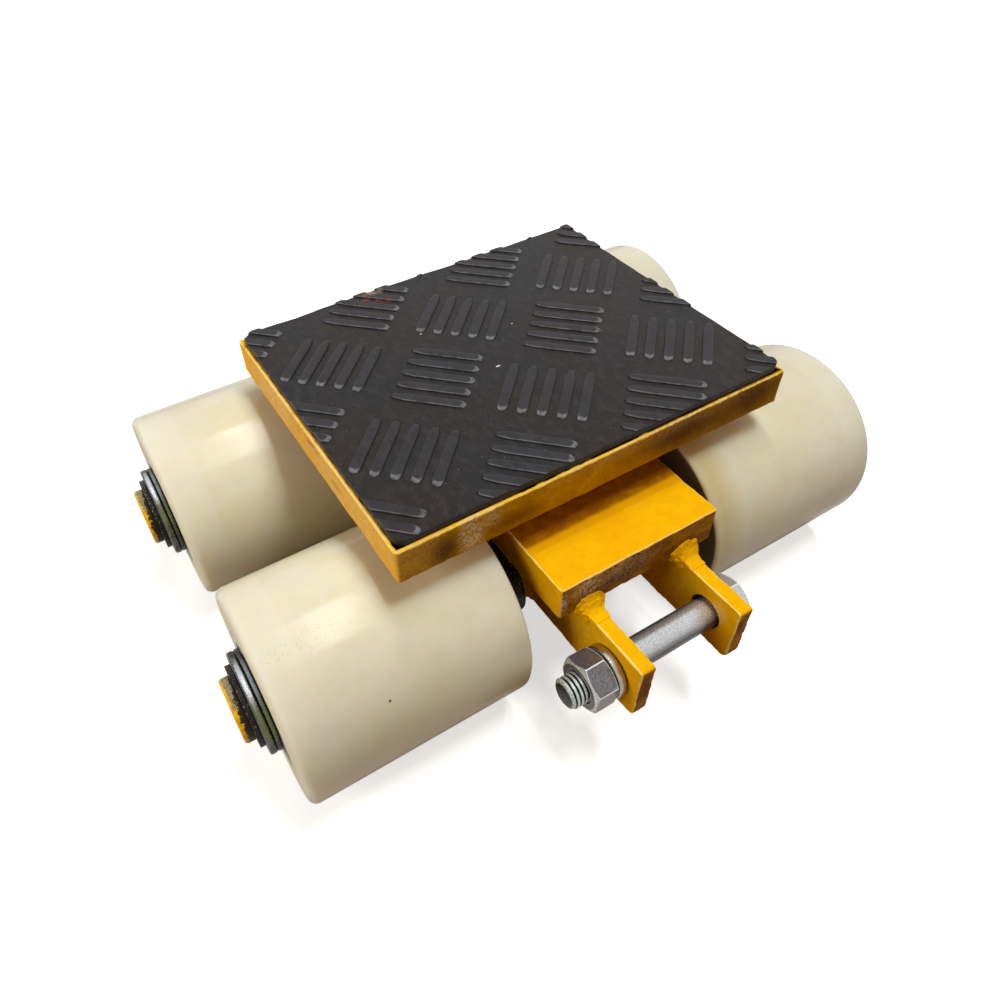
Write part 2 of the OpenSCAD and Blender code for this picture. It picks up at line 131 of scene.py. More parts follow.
def dense(outline, step):
    """Points at most a step apart along a closed outline, and the outward direction at each."""
    points = parted(outline, step)
    points = np.array([p for i, p in enumerate(points) if np.linalg.norm(p - points[i - 1]) > 1e-6])
    ahead = np.roll(points, -1, 0) - points
    ahead /= np.linalg.norm(ahead, axis=1)[:, None]
    along = ahead + np.roll(ahead, 1, 0)
    along /= np.linalg.norm(along, axis=1)[:, None]
    area = np.sum(points[:, 0] * np.roll(points[:, 1], -1) - points[:, 1] * np.roll(points[:, 0], -1))
    out = np.stack((along[:, 1], -along[:, 0]), 1) * (1 if area > 0 else -1)
    return points, out


# Shells: points in mm, faces, and how worn each point is from 0 to 1

def band(a, b, count):
    """Faces between two closed loops of points that start at a and b."""
    return [(a + i, b + i, b + (i + 1) % count, a + (i + 1) % count) for i in range(count)]


def ring_shell(rings, loop=False, wear=None):
    """Skin over rings of points. A ring of one point closes the shell in a pole."""
    points, faces, worn, starts = [], [], [], []
    for k, ring in enumerate(rings):
        ring = np.atleast_2d(ring)
        starts.append((len(points), len(ring)))
        points.extend(ring)
        worn.extend(np.broadcast_to(0.0 if wear is None else wear[k], len(ring)))
    pairs = list(zip(starts, starts[1:]))
    if loop:
        pairs.append((starts[-1], starts[0]))
    for (a, count_a), (b, count_b) in pairs:
        if count_a == 1:
            faces.extend((a, b + i, b + (i + 1) % count_b) for i in range(count_b))
        elif count_b == 1:
            faces.extend((a + i, b, a + (i + 1) % count_a) for i in range(count_a))
        else:
            faces.extend(band(a, b, count_a))
    if not loop:
        faces.extend(tuple(range(a, a + count)) for a, count in (starts[0], starts[-1]) if count > 1)
    return points, faces, worn


def turned(profile, centre, along="x", side=1, steps=96, loop=True):
    """Shell of a turned piece. The profile holds (distance along the axis, radius)."""
    rings = []
    for distance, radius in profile:
        angles = np.zeros(1) if radius < 1e-6 else np.linspace(0, 2 * math.pi, steps, endpoint=False)
        away = np.full(len(angles), side * distance)
        across, up = radius * np.cos(angles), radius * np.sin(angles)
        columns = (away, across, up) if along == "x" else (across, up, away)
        rings.append(np.stack(columns, 1) + np.array(centre, float))
    return ring_shell(rings, loop)


def drilled(u, v, radius, low, high, ease=0.4):
    """A hole for cut_plate: its centre and its rings as (height, radius), from low to high."""
    return u, v, [(low, radius + ease), (low + ease, radius), (high - ease, radius), (high, radius + ease)]


def cut_plate(outline, low, high, ease, place, holes=(), step=1.5, uneven=0.08, edge_uneven=0.35,
              seed=0.0, top_ease=None, hole_steps=64):
    """Shell of a plate with eased, slightly uneven edges. place turns (u, v, w) into x, y, z."""
    line, out = dense(outline, step)
    bends = [(i * math.pi / 8, 0.35 + 0.65 * math.sin(i * math.pi / 4)) for i in range(5)]
    rings = [("low", None, 0.0)]
    rings += [("low", t, wear) for t, wear in bends]
    rings += [("side", s, 0.0) for s in (0.06, 0.2, 0.35, 0.5, 0.65, 0.8, 0.94)]
    rings += [("high", t, wear) for t, wear in reversed(bends)]
    rings += [("high", None, 0.0)]
    points, faces, worn, starts = [], [], [], []
    for kind, t, wear in rings:
        starts.append(len(points))
        lift = -7.0 if kind == "low" else 7.0
        soft = ease if kind == "low" or top_ease is None else top_ease
        for p, n in zip(line, out):
            e = soft * (1 + edge_uneven * wobble((*p, lift), 7, seed) + edge_uneven * wobble((*p, lift), 1.9, seed + 3))
            if kind == "side":
                inset, w = 0.0, low + ease + (high - low - 2 * ease) * t
            else:
                inset = e + 0.5 if t is None else e * (1 - math.sin(t))
                drop = 0.0 if t is None else e * (1 - math.cos(t))
                w = low + drop if kind == "low" else high - drop
            dent = uneven * (wobble((*p, w), 9, seed + 5) + 0.5 * wobble((*p, w), 2.5, seed + 9) - 1)
            points.append(place(*(p + n * (dent - inset)), w))
        worn.extend([wear] * len(line))
    for a, b in zip(starts, starts[1:]):
        faces.extend(band(a, b, len(line)))
    caps = [[(starts[0], len(line))], [(starts[-1], len(line))]]
    for u, v, profile in holes:
        starts = []
        for w, radius in profile:
            starts.append(len(points))
            points.extend(place(*p, w) for p in arc((u, v), radius, 0, 2 * math.pi, hole_steps + 1)[:-1])
            worn.extend([0.5 if w in (low, high) else 0.0] * hole_steps)
        for a, b in zip(starts, starts[1:]):
            faces.extend(band(a, b, hole_steps))
        caps[0].append((starts[0], hole_steps))
        caps[1].append((starts[-1], hole_steps))
    for cap in caps:
        index = [start + i for start, count in cap for i in range(count)]
        lines = [[Vector(points[start + i]) for i in range(count)] for start, count in cap]
        faces.extend(tuple(index[i] for i in triangle) for triangle in tessellate_polygon(lines))
    return points, faces, worn


def flat(u, v, w):
    return np.array((u, v, w))


def upright(u, v, w):
    return np.array((w, u, v))


# Objects

def linked(name, data):
    thing = bpy.data.objects.new(name, data)
    bpy.context.scene.collection.objects.link(thing)
    return thing


def object_of(mesh, name, sharp=32):
    """An object of a mesh, with its faces outwards, smooth up to an angle in degrees."""
    form = bmesh.new()
    form.from_mesh(mesh)
    bmesh.ops.recalc_face_normals(form, faces=form.faces)
    form.to_mesh(mesh)
    form.free()
    mesh.shade_smooth()
    mesh.set_sharp_from_angle(angle=math.radians(sharp))
    mesh.name = name
    return linked(name, mesh)


def mesh_piece(name, shells, sharp=32):
    """An object made of shells, with its wear kept as an attribute."""
    points, faces, worn = [], [], []
    for shell_points, shell_faces, shell_worn in shells:
        start = len(points)
        points.extend(np.array(p) * MM for p in shell_points)
        faces.extend(tuple(start + i for i in face) for face in shell_faces)
        worn.extend(shell_worn)
    mesh = bpy.data.meshes.new(name)
    mesh.from_pydata([tuple(p) for p in points], [], faces)
    mesh.attributes.new("wear", "FLOAT", "POINT").data.foreach_set("value", worn)
    return object_of(mesh, name, sharp)


def settled(piece):
    """The plain mesh that an object's modifiers make of it. The object is thrown away."""
    graph = bpy.context.evaluated_depsgraph_get()
    mesh = bpy.data.meshes.new_from_object(piece.evaluated_get(graph))
    bpy.data.objects.remove(piece)
    return mesh


def join_into(mesh, *others):
    form = bmesh.new()
    for part in (mesh, *others):
        form.from_mesh(part)
    form.to_mesh(mesh)
    form.free()


def fit(piece, body, slot, material, *nodes):
    """Gives a finished piece its material, its body and the nodes it stands for. The slot is not used."""
    piece.data.materials.clear()
    piece.data.materials.append(material)
    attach(piece, body)
    if nodes:
        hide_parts(*nodes)
    return piece


def fitted(name, shells, body, slot, material, node, sharp=32):
    return fit(mesh_piece(name, shells, sharp), body, slot, material, node)


# Node trees

class Nodes:
    """A node tree under way. A socket is set to a value or linked to a node or a socket."""

    def __init__(self, tree):
        self.tree = tree

    def put(self, socket, value):
        if isinstance(value, bpy.types.Node):
            value = value.outputs[0]
        if isinstance(value, bpy.types.NodeSocket):
            self.tree.links.new(value, socket)
        else:
            socket.default_value = value

    def add(self, kind, sockets=None, **settings):
        node = self.tree.nodes.new(kind)
        for key, value in settings.items():
            setattr(node, key, value)
        for key, value in (sockets or {}).items():
            self.put(node.inputs[key], value)
        return node

    def calc(self, operation, *values, clamp=False):
        return self.add("ShaderNodeMath", dict(enumerate(values)), operation=operation, use_clamp=clamp)

    def vector(self, operation, *values):
        return self.add("ShaderNodeVectorMath", dict(enumerate(values)), operation=operation)

    def times(self, *values):
        return reduce(lambda a, b: self.calc("MULTIPLY", a, b), values)

    def plus(self, *values):
        return reduce(lambda a, b: self.calc("ADD", a, b), values)

    def most(self, *values):
        return reduce(lambda a, b: self.calc("MAXIMUM", a, b), values)

    def ramp(self, value, low, high, start=0.0, end=1.0):
        return self.add("ShaderNodeMapRange", {"Value": value, "From Min": low, "From Max": high,
                                               "To Min": start, "To Max": end}).outputs[0]


class Shaper(Nodes):
    """A geometry tree that turns a base object into a plain mesh of one material."""

    def __init__(self, name, **inputs):
        super().__init__(bpy.data.node_groups.new(name, "GeometryNodeTree"))
        for label, kind in {"Geometry": "Geometry", **inputs}.items():
            self.tree.interface.new_socket(label, in_out="INPUT", socket_type="NodeSocket" + kind)
        self.tree.interface.new_socket("Geometry", in_out="OUTPUT", socket_type="NodeSocketGeometry")
        self.given = self.tree.nodes.new("NodeGroupInput").outputs

    def close(self, geometry, material):
        real = self.add("GeometryNodeRealizeInstances", {"Geometry": geometry})
        painted = self.add("GeometryNodeSetMaterial", {"Geometry": real, "Material": material})
        self.add("NodeGroupOutput", {0: painted})
        return self

    def grow(self, base, name, **values):
        """The mesh that the tree makes of a base object. The object is thrown away."""
        modifier = base.modifiers.new(self.tree.name, "NODES")
        modifier.node_group = self.tree
        for item in self.tree.interface.items_tree:
            if item.in_out == "INPUT" and item.name in values:
                modifier[item.identifier] = values[item.name]
        mesh = settled(base)
        mesh.name = name
        return mesh


def thread_shaper(material):
    """Cuts a screw thread into a rod that lies along X."""
    s = Shaper("cut_thread", Pitch="Float", Depth="Float", Radius="Float", Start="Float", End="Float",
               Centre="Vector")
    given = s.given
    local = s.vector("SUBTRACT", s.add("GeometryNodeInputPosition"), given["Centre"])
    x, y, z = s.add("ShaderNodeSeparateXYZ", {0: local}).outputs
    angle = s.calc("DIVIDE", s.calc("ARCTAN2", z, y), 2 * math.pi)
    phase = s.calc("FRACT", s.plus(s.calc("DIVIDE", x, given["Pitch"]), angle))
    wave = s.calc("ABSOLUTE", s.calc("MULTIPLY_ADD", phase, 2.0, -1.0))
    flank = s.most(s.calc("MINIMUM", s.calc("MULTIPLY_ADD", wave, 2.0, -0.95), 1.0), 0.0)
    radius = s.calc("SQRT", s.plus(s.times(y, y), s.times(z, z)))
    cut = s.calc("SUBTRACT", given["Radius"], s.times(flank, given["Depth"]))
    share = s.calc("DIVIDE", s.calc("MINIMUM", radius, cut), s.most(radius, 1e-6))
    inside = s.times(s.calc("GREATER_THAN", x, given["Start"]), s.calc("LESS_THAN", x, given["End"]))
    scaled = s.add("ShaderNodeCombineXYZ", {0: x, 1: s.times(y, share), 2: s.times(z, share)})
    shaped = s.add("GeometryNodeSetPosition", {"Geometry": given["Geometry"], "Selection": inside,
                                               "Position": s.vector("ADD", scaled, given["Centre"])})
    return s.close(shaped, material)


def tread_shaper(material):
    """Groups of bars, one way and the other in turn, from one bar that lies along X."""
    s = Shaper("tread_groups", Bars="Int", Step="Float", Pitch="Float", Shift="Vector", Lean="Float",
               Columns="Int", Rows="Int")
    given = s.given

    def vector(x=0.0, y=0.0, z=0.0):
        return s.add("ShaderNodeCombineXYZ", {0: x, 1: y, 2: z})

    def span(count, pitch):
        return s.times(s.calc("SUBTRACT", given[count], 1.0), given[pitch])

    row = s.add("GeometryNodeMeshLine", {"Count": given["Bars"], "Offset": vector(y=given["Step"]),
                                         "Start Location": vector(y=s.times(span("Bars", "Step"), -0.5))})
    group = s.add("GeometryNodeInstanceOnPoints", {"Points": row, "Instance": given["Geometry"]})
    grid = s.add("GeometryNodeMeshGrid", {"Size X": span("Columns", "Pitch"), "Size Y": span("Rows", "Pitch"),
                                          "Vertices X": given["Columns"], "Vertices Y": given["Rows"]})
    half = s.times(given["Pitch"], 0.5)
    both = s.add("GeometryNodeJoinGeometry")
    for lean, offset in ((5.0, vector(y=half)), (-1.0, vector(x=half))):
        spots = s.add("GeometryNodeTransform", {"Geometry": grid.outputs[0],
                                                "Translation": s.vector("ADD", offset, given["Shift"])})
        groups = s.add("GeometryNodeInstanceOnPoints", {"Points": spots, "Instance": group,
                                                        "Rotation": vector(z=s.times(given["Lean"], lean))})
        s.put(both.inputs[0], groups)
    return s.close(both, material)


def weld_shaper(material):
    """A row of weld ripples along Y, each a little different in size and place."""
    s = Shaper("weld_ripples", Ripples="Int", Start="Vector", Step="Vector", Seed="Int")
    given = s.given
    line = s.add("GeometryNodeMeshLine", {"Count": given["Ripples"], "Start Location": given["Start"],
                                          "Offset": given["Step"]})
    size, turn = (s.add("FunctionNodeRandomValue", {"Min": low, "Max": high, "Seed": given["Seed"]},
                        data_type="FLOAT_VECTOR")
                  for low, high in (((0.86, 0.8, 0.86), (1.1, 1.15, 1.1)), ((-0.12, -0.1, -0.14), (0.12, 0.1, 0.14))))
    ripples = s.add("GeometryNodeInstanceOnPoints", {"Points": line, "Instance": given["Geometry"],
                                                     "Rotation": turn, "Scale": size})
    return s.close(ripples, material)


# Materials

def linear(r, g, b):
    """A colour given as it looks on screen, from 0 to 255."""
    return tuple(((c / 255 + 0.055) / 1.055) ** 2.4 if c > 10 else c / 255 / 12.92 for c in (r, g, b)) + (1.0,)


class Finish(Nodes):
    """A surface finish under way: patterns on the piece's own coordinates, sizes in mm."""

    def __init__(self, name, **constants):
        self.material = bpy.data.materials.new(name)
        self.material.use_nodes = True
        super().__init__(self.material.node_tree)
        self.shader = self.tree.nodes["Principled BSDF"]
        self.place = self.add("ShaderNodeTexCoord").outputs["Object"]
        self.colour = None
        for key, value in constants.items():
            self.shader.inputs[key.replace("_", " ")].default_value = value

    def mapped(self, scale, seed=0.0):
        return self.add("ShaderNodeMapping", {"Vector": self.place, "Scale": scale, "Location": (seed,) * 3})

    def noise(self, size, detail, roughness=0.5, seed=0.0, stretch=(1, 1, 1)):
        """Noise with lumps of a size in mm, longer along the axes with a stretch over 1."""
        where = self.mapped(tuple(1 / (size * MM * s) for s in stretch), seed)
        return self.add("ShaderNodeTexNoise", {"Vector": where, "Scale": 1.0, "Detail": detail,
                                               "Roughness": roughness}).outputs["Fac"]

    def dots(self, size, radius, soft_radius, strength, seed=0.0):
        """Scattered dots: cells of a size in mm, each with a dot in its middle."""
        where = self.mapped((1 / (size * MM),) * 3, seed)
        away = self.add("ShaderNodeTexVoronoi", {"Vector": where, "Scale": 1.0}).outputs["Distance"]
        return self.ramp(away, radius, soft_radius, strength, 0.0)

    def mix(self, share, a, b):
        node = self.add("ShaderNodeMix", data_type="RGBA")
        for index, value in ((0, share), (6, a), (7, b)):
            self.put(node.inputs[index], value)
        return node.outputs[2]

    def start(self, share, a, b):
        """The first colour, between two shades."""
        self.colour = self.mix(share, linear(*a), linear(*b))

    def lay(self, shade, *shares):
        """Lays a shade over the colour, as thick as the product of the shares."""
        self.colour = self.mix(self.times(*shares), self.colour, linear(*shade))

    def near(self, point, radius, soft=0.5, squash=(1, 1, 1)):
        """1 near a point in mm, falling to 0 at the radius."""
        scale = tuple(1 / s for s in squash)
        spot = tuple(p * MM * s for p, s in zip(point, scale))
        away = self.vector("DISTANCE", self.mapped(scale), spot).outputs["Value"]
        return self.ramp(away, radius * MM * (1 - soft), radius * MM, 1.0, 0.0)

    def axis(self, index):
        """The coordinate along x, y or z, in mm."""
        return self.times(self.add("ShaderNodeSeparateXYZ", {0: self.place}).outputs[index], 1 / MM)

    def facing(self, index):
        """How far the surface looks along x, y or z of the piece."""
        normal = self.add("ShaderNodeNewGeometry").outputs["Normal"]
        turned_back = self.add("ShaderNodeVectorTransform", {0: normal}, vector_type="NORMAL",
                               convert_from="WORLD", convert_to="OBJECT")
        return self.add("ShaderNodeSeparateXYZ", {0: turned_back}).outputs[index]

    def turned_to(self, degrees):
        """How far a face of a piece along X looks a number of degrees from up towards the tow end."""
        angle = math.radians(degrees)
        return self.plus(self.times(self.facing(1), -math.sin(angle)), self.times(self.facing(2), math.cos(angle)))

    def worn(self):
        return self.add("ShaderNodeAttribute", attribute_name="wear").outputs["Fac"]

    def bump(self, height, depth, strength, below=None):
        sockets = {"Height": height, "Distance": depth * MM, "Strength": strength}
        if below is not None:
            sockets["Normal"] = below
        return self.add("ShaderNodeBump", sockets).outputs[0]

    def done(self, roughness, normal):
        for key, value in (("Base Color", self.colour), ("Roughness", roughness), ("Normal", normal)):
            self.put(self.shader.inputs[key], value)
        return self.material


def paint_finish(name, streaks=(1, 1, 1), wear=0.5, side_shade_and_grime=0.3, spots=(), chips=(), tow_face_shade_and_crust=0.0, patches=(),
                 under=None):
    """Yellow machine paint: brushed on thick, rubbed through along the edges and in spots, with painted highlights
    along the edges, painted shade where it doesn't face up, and painted sheen, reflections and shadow in given places.
    """
    f = Finish(name, Specular_IOR_Level=0.02, Specular_Tint=(1.0, 0.8, 0.45, 1.0))
    broad = f.noise(20, 3, seed=2)
    brushed = f.noise(1.2, 4, 0.6, 5, streaks)
    blots = f.noise(4.2, 5, 0.62, 8, tuple(1 + 0.12 * (k - 1) for k in streaks))
    peel = f.noise(0.9, 2, seed=7)
    fine = f.noise(0.42, 4, 0.7, 9)
    # Slow shifts of shade, blots, brush marks and pale grain
    f.start(f.ramp(broad, 0.35, 0.65), (255, 194, 4), (250, 182, 3))
    f.lay((236, 158, 2), f.ramp(blots, 0.42, 0.66), 0.25)
    f.lay((222, 144, 2), f.ramp(brushed, 0.5, 0.66), 0.16)
    f.lay((255, 214, 70), f.ramp(fine, 0.52, 0.66), 0.3)
    # Painted shade on all that doesn't face up
    side = f.calc("SUBTRACT", 1.0, f.most(f.facing(2), 0.0))
    f.lay((176, 98, 2), side, side_shade_and_grime, f.ramp(blots, 0.3, 0.62, 0.35, 1.0))
    # Painted shade and a dark crust on faces towards the tow end
    front = f.ramp(f.facing(1), -0.74, -0.92, 0.0, tow_face_shade_and_crust)
    f.lay((142, 80, 2), front, f.ramp(f.noise(9, 3, seed=17), 0.36, 0.6, 0.45, 1.0))
    f.lay((88, 50, 6), front, f.ramp(f.noise(0.7, 5, 0.75, 14, (2, 1, 1)), 0.5, 0.6), 0.7)
    # Dark patches in chosen spots: painted reflections on the load plate's face towards the tow end, brown patches on
    # the beam's
    for point, radius, squash, shade in patches:
        f.lay(shade, f.near(point, radius, 0.8, squash), f.ramp(fine, 0.36, 0.52, 0.55, 1.0))
    # Painted shadow of the load plate on a top face, from a place y back, at a level z: a dark band behind y and a
    # lighter band starting just ahead of it
    if under is not None:
        back, level = under
        top = f.ramp(f.axis(2), level - 0.3, level)
        f.lay((120, 62, 6), f.ramp(f.axis(1), back, back + 1.6), top, f.ramp(blots, 0.3, 0.6, 0.6, 0.9))
        f.lay((196, 118, 4), f.ramp(f.axis(1), back - 3.2, back - 2.4), top, 0.25)
    # Dark grains of dirt on all that doesn't face up
    f.lay((66, 38, 10), f.ramp(fine, 0.54, 0.62), side, 1.1 * side_shade_and_grime)
    # Edges rubbed pale, with painted highlights along them
    rub_and_highlight = f.ramp(f.plus(f.times(f.noise(1.9, 5, 0.65, 13), 0.75), f.times(f.worn(), wear)), 0.7, 0.84)
    rub_and_highlight = f.times(rub_and_highlight, f.ramp(f.worn(), 0.1, 0.5))
    f.lay((255, 226, 130), rub_and_highlight, 0.85)
    # Pale specks in chosen spots, partly scuffs and partly painted sheen, then dark chips in chosen spots
    if spots:
        speckle = f.ramp(f.noise(0.85, 4, 0.7, 21), 0.46, 0.55)
        f.lay((238, 220, 194), f.most(*(f.times(f.near(point, radius, 0.7, squash), speckle, amount)
                                        for point, radius, amount, squash in spots)))
    if chips:
        hits = f.most(*(f.near(point, radius, 0.6, squash) for point, radius, squash in chips))
        f.lay((96, 58, 18), hits, f.ramp(f.plus(brushed, f.times(fine, 0.5)), 0.66, 0.8, 0, 0.5))
    roughness = f.plus(f.ramp(broad, 0.3, 0.7, 0.4, 0.5), f.times(rub_and_highlight, 0.15))
    normal = f.bump(f.plus(f.times(brushed, 0.5), f.times(blots, 1.2)), 0.12, 0.9)
    return f.done(roughness, f.bump(f.plus(peel, f.times(fine, 0.7)), 0.07, 0.9, normal))


def rubber_finish():
    """Hard black rubber sheet: bars rubbed grey on top, with painted shade on their sides and round their feet, a
    painted highlight on their bevels towards the left front, and a painted glint with some rubbing at one end.
    """
    f = Finish("mat_rubber", Specular_IOR_Level=0.16)
    sheet_top = box_mm("rubber_mat")[1][2] - TREAD_H
    above = f.calc("SUBTRACT", f.axis(2), sheet_top)
    broad = f.noise(30, 4, 0.6, 1)
    grain = f.noise(0.32, 3, 0.65, 3)
    scuffs = f.noise(3.2, 5, 0.68, 5, (1, 1.8, 1))
    mottle = f.plus(scuffs, f.times(grain, 0.5))
    # Black, scuffed and grainy, with painted shade on the bars' sides and round their feet
    f.start(f.ramp(broad, 0.38, 0.62), (37, 31, 27), (33, 32, 36))
    f.lay((70, 67, 67), f.ramp(scuffs, 0.48, 0.68), 0.36)
    f.lay((90, 86, 86), f.ramp(grain, 0.54, 0.72, 0.0, 0.4))
    f.lay((18, 16, 17), f.ramp(above, 0.02, 0.08), f.ramp(above, 0.5, 0.44), 0.9)
    # Grey tops, a painted highlight on the bevels towards the left front, and bright ends: a painted glint with some
    # rubbing
    f.lay((54, 53, 57), f.ramp(above, 0.44, 0.56), f.ramp(scuffs, 0.34, 0.62, 0.3, 1.0))
    towards = f.plus(f.times(f.facing(0), -0.6), f.times(f.facing(1), -0.8))
    f.lay((112, 112, 118), f.ramp(above, 0.4, 0.5), f.ramp(above, 0.72, 0.7), f.ramp(towards, 0.05, 0.35),
          f.ramp(scuffs, 0.36, 0.56, 0.2, 0.8))
    f.lay((132, 132, 138), f.ramp(above, 0.1, 0.2), f.ramp(f.worn(), 0.2, 1.0),
          f.ramp(f.noise(1.3, 3, seed=12), 0.36, 0.6, 0.2, 0.75))
    # Brown and red smudges, a few white crumbs, and dust
    for point, radius, squash, shade in (((-23.4, 75.0), 3.6, (1.6, 0.8, 1), (168, 148, 124)),
                                         ((-20.9, 66.6), 2.6, (1.2, 0.6, 1), (158, 62, 74)),
                                         ((-28.5, 72.0), 2.8, (1.6, 0.5, 1), (128, 60, 58)),
                                         ((-24.5, 68.8), 3.0, (1.8, 0.4, 1), (118, 58, 56))):
        f.lay(shade, f.near((*point, sheet_top + 0.4), radius, 0.9, squash), f.ramp(mottle, 0.64, 0.82))
    for point, size in (((-6.8, 0.9), 0.75), ((-21.0, 36.4), 0.45), ((14.0, 22.0), 0.35)):
        f.lay((214, 210, 204), f.near((*point, sheet_top), size, 0.3, (1.5, 0.7, 3)))
    f.lay((150, 146, 142), f.dots(3.6, 0.04, 0.06, 0.75, 2), f.ramp(f.noise(18, 2, seed=6), 0.44, 0.56))
    return f.done(f.ramp(mottle, 0.5, 1.0, 0.3, 0.5), f.bump(scuffs, 0.25, 0.7, f.bump(grain, 0.06, 0.9)))


def nylon_finish():
    """Cast nylon, turned to size: waxy and see-through near its skin, with faint clouds and specks."""
    f = Finish("roller_nylon", Specular_IOR_Level=0.42, Subsurface_Weight=0.7, Subsurface_Scale=0.013,
               Subsurface_Radius=(1.0, 0.7, 0.35))
    low, high = box_mm("front_left_roller")
    cloud = f.noise(8, 4, seed=6)
    lines = f.noise(0.6, 3, 0.6, 4, (1, 30, 30))
    # Ivory with faint yellow clouds, paler where the skin is thin over a bearing
    f.start(f.ramp(f.noise(34, 3, seed=1), 0.3, 0.7), (236, 233, 215), (231, 224, 195))
    f.lay((224, 213, 180), f.ramp(cloud, 0.46, 0.74), 0.35)
    inward = f.calc("SUBTRACT", -low[0], f.calc("ABSOLUTE", f.axis(0)))
    f.lay((238, 236, 222), f.ramp(inward, BEARING_W + 0.3, BEARING_W - 0.3), f.ramp(inward, 0.0, 1.5), 0.4)
    # Painted warm bounce light on the right rollers' inner ends
    deep = f.calc("SUBTRACT", f.axis(0), -high[0])
    f.lay((208, 180, 92), f.ramp(deep, 17.0, 6.0), f.ramp(deep, -1.0, 5.0, 0.6, 1.0), f.ramp(f.axis(0), 0.0, 1.0), 0.6)
    # Painted shade on the faces towards the middle: they are dark
    f.lay((48, 36, 22), f.ramp(f.times(f.facing(0), f.calc("SIGN", f.axis(0))), -0.8, -0.97), 0.85)
    # Specks, a few larger marks, a pitted strip and one deep pit on the front left roller
    f.lay((168, 140, 98), f.dots(2.6, 0.03, 0.05, 0.5, 3), f.ramp(f.noise(9, 2, seed=9), 0.56, 0.64))
    f.lay((120, 86, 48), f.dots(17, 0.007, 0.012, 0.8, 11))
    f.lay((140, 116, 78), f.near((-118, -53.4, 82.6), 17, 0.7, (1.5, 0.35, 1)), f.dots(0.95, 0.1, 0.17, 0.9, 21))
    f.lay((120, 80, 36), f.near((-100.5, -76.8, 62.7), 0.6, 0.4))
    roughness = f.ramp(f.plus(f.times(lines, 0.4), cloud), 0.5, 1.1, 0.15, 0.22)
    end_face = f.ramp(f.calc("ABSOLUTE", f.facing(0)), 0.9, 0.99, 0.0, 0.7)
    return f.done(f.calc("ADD", roughness, end_face, clamp=True), f.bump(cloud, 0.1, 0.22, f.bump(lines, 0.004, 0.5)))


def zinc_finish(name, light, grey, stain=0.3, rough=(0.2, 0.34), metal=1.0, rim=None, dark_reflection=None, specks=None,
                bolt_tip=None):
    """Zinc plating: finely mottled, yellowed and greyed in patches, bright where edges are rubbed, with painted
    reflections and painted highlights where asked.
    """
    f = Finish(name, Metallic=metal)
    mottle = f.noise(0.7, 4, 0.7, 3)
    broad = f.noise(7, 3, seed=1)
    fine = f.noise(0.2, 3, seed=8)
    f.start(f.ramp(mottle, 0.4, 0.6), light, grey)
    f.lay((116, 108, 76), f.ramp(broad, 0.46, 0.68), stain)
    f.lay((50, 48, 48), f.ramp(fine, 0.58, 0.72, 0.0, 0.5))
    if rim is not None:
        f.lay(rim, f.ramp(f.calc("ABSOLUTE", f.facing(0)), 0.75, 0.4), f.ramp(broad, 0.3, 0.6, 0.45, 0.95))
    if dark_reflection is not None:
        # Painted reflections: dark on all but the faces that look about 12 degrees from up towards the tow end, which
        # stay bright as a painted highlight, and olive where they face the tow end and up
        patchy = f.times(f.calc("SUBTRACT", mottle, 0.5), 0.5)
        reflection_shade = f.mix(f.ramp(mottle, 0.46, 0.62), linear(*dark_reflection), linear(104, 104, 100))
        f.colour = f.mix(f.ramp(f.plus(f.turned_to(12), patchy), 0.99, 0.84, 0.0, 0.96), f.colour, reflection_shade)
        f.lay((112, 118, 72), f.ramp(f.plus(f.turned_to(58), patchy), 0.86, 0.96), 0.7)
    if bolt_tip is not None:
        along = f.axis(0)
        off_axis = f.vector("SUBTRACT", f.place, (0, bolt_at[1] * MM, bolt_at[2] * MM))
        away = f.vector("LENGTH", f.vector("MULTIPLY", off_axis, (0, 1, 1))).outputs["Value"]
        # Dark thread grooves, pale head, a painted highlight along the shank's upper side, pale crests, and a painted
        # highlight on the chamfer at the tip
        f.lay((36, 34, 34), f.ramp(away, 5.7 * MM, 5.45 * MM), f.ramp(along, bolt_tip + 0.6, bolt_tip + 1.2),
              f.ramp(along, THREAD_END + 1.0, THREAD_END + 0.2))
        f.lay((178, 178, 182), f.ramp(along, 25.2, 25.8), f.ramp(mottle, 0.3, 0.6, 0.9, 0.5))
        f.lay((214, 216, 220), f.ramp(along, THREAD_END - 1.2, THREAD_END + 0.3),
              f.ramp(f.turned_to(14), 0.5, 0.95), f.ramp(mottle, 0.3, 0.6, 0.5, 1.0))
        f.lay((214, 222, 220), f.ramp(away, 5.75 * MM, 5.9 * MM),
              f.ramp(along, THREAD_END + 0.8, THREAD_END - 0.7), 0.85)
        f.lay((206, 216, 214), f.ramp(along, bolt_tip + 0.25, bolt_tip + 0.4),
              f.ramp(along, bolt_tip + 1.4, bolt_tip + 1.1), f.ramp(mottle, 0.36, 0.6, 0.4, 0.9))
    if specks is not None:
        f.lay(specks, f.ramp(f.noise(0.3, 2, seed=11), 0.56, 0.64), f.ramp(mottle, 0.4, 0.55))
    f.lay((240, 242, 240), f.ramp(f.worn(), 0.2, 0.9), 0.95)
    if bolt_tip is not None:
        f.lay((26, 26, 26), f.ramp(f.axis(0), bolt_tip + 0.05, bolt_tip + 0.25, 0.95, 0.0))
    return f.done(f.ramp(mottle, 0.3, 0.75, *rough), f.bump(f.plus(mottle, f.times(fine, 0.8)), 0.022, 0.8))


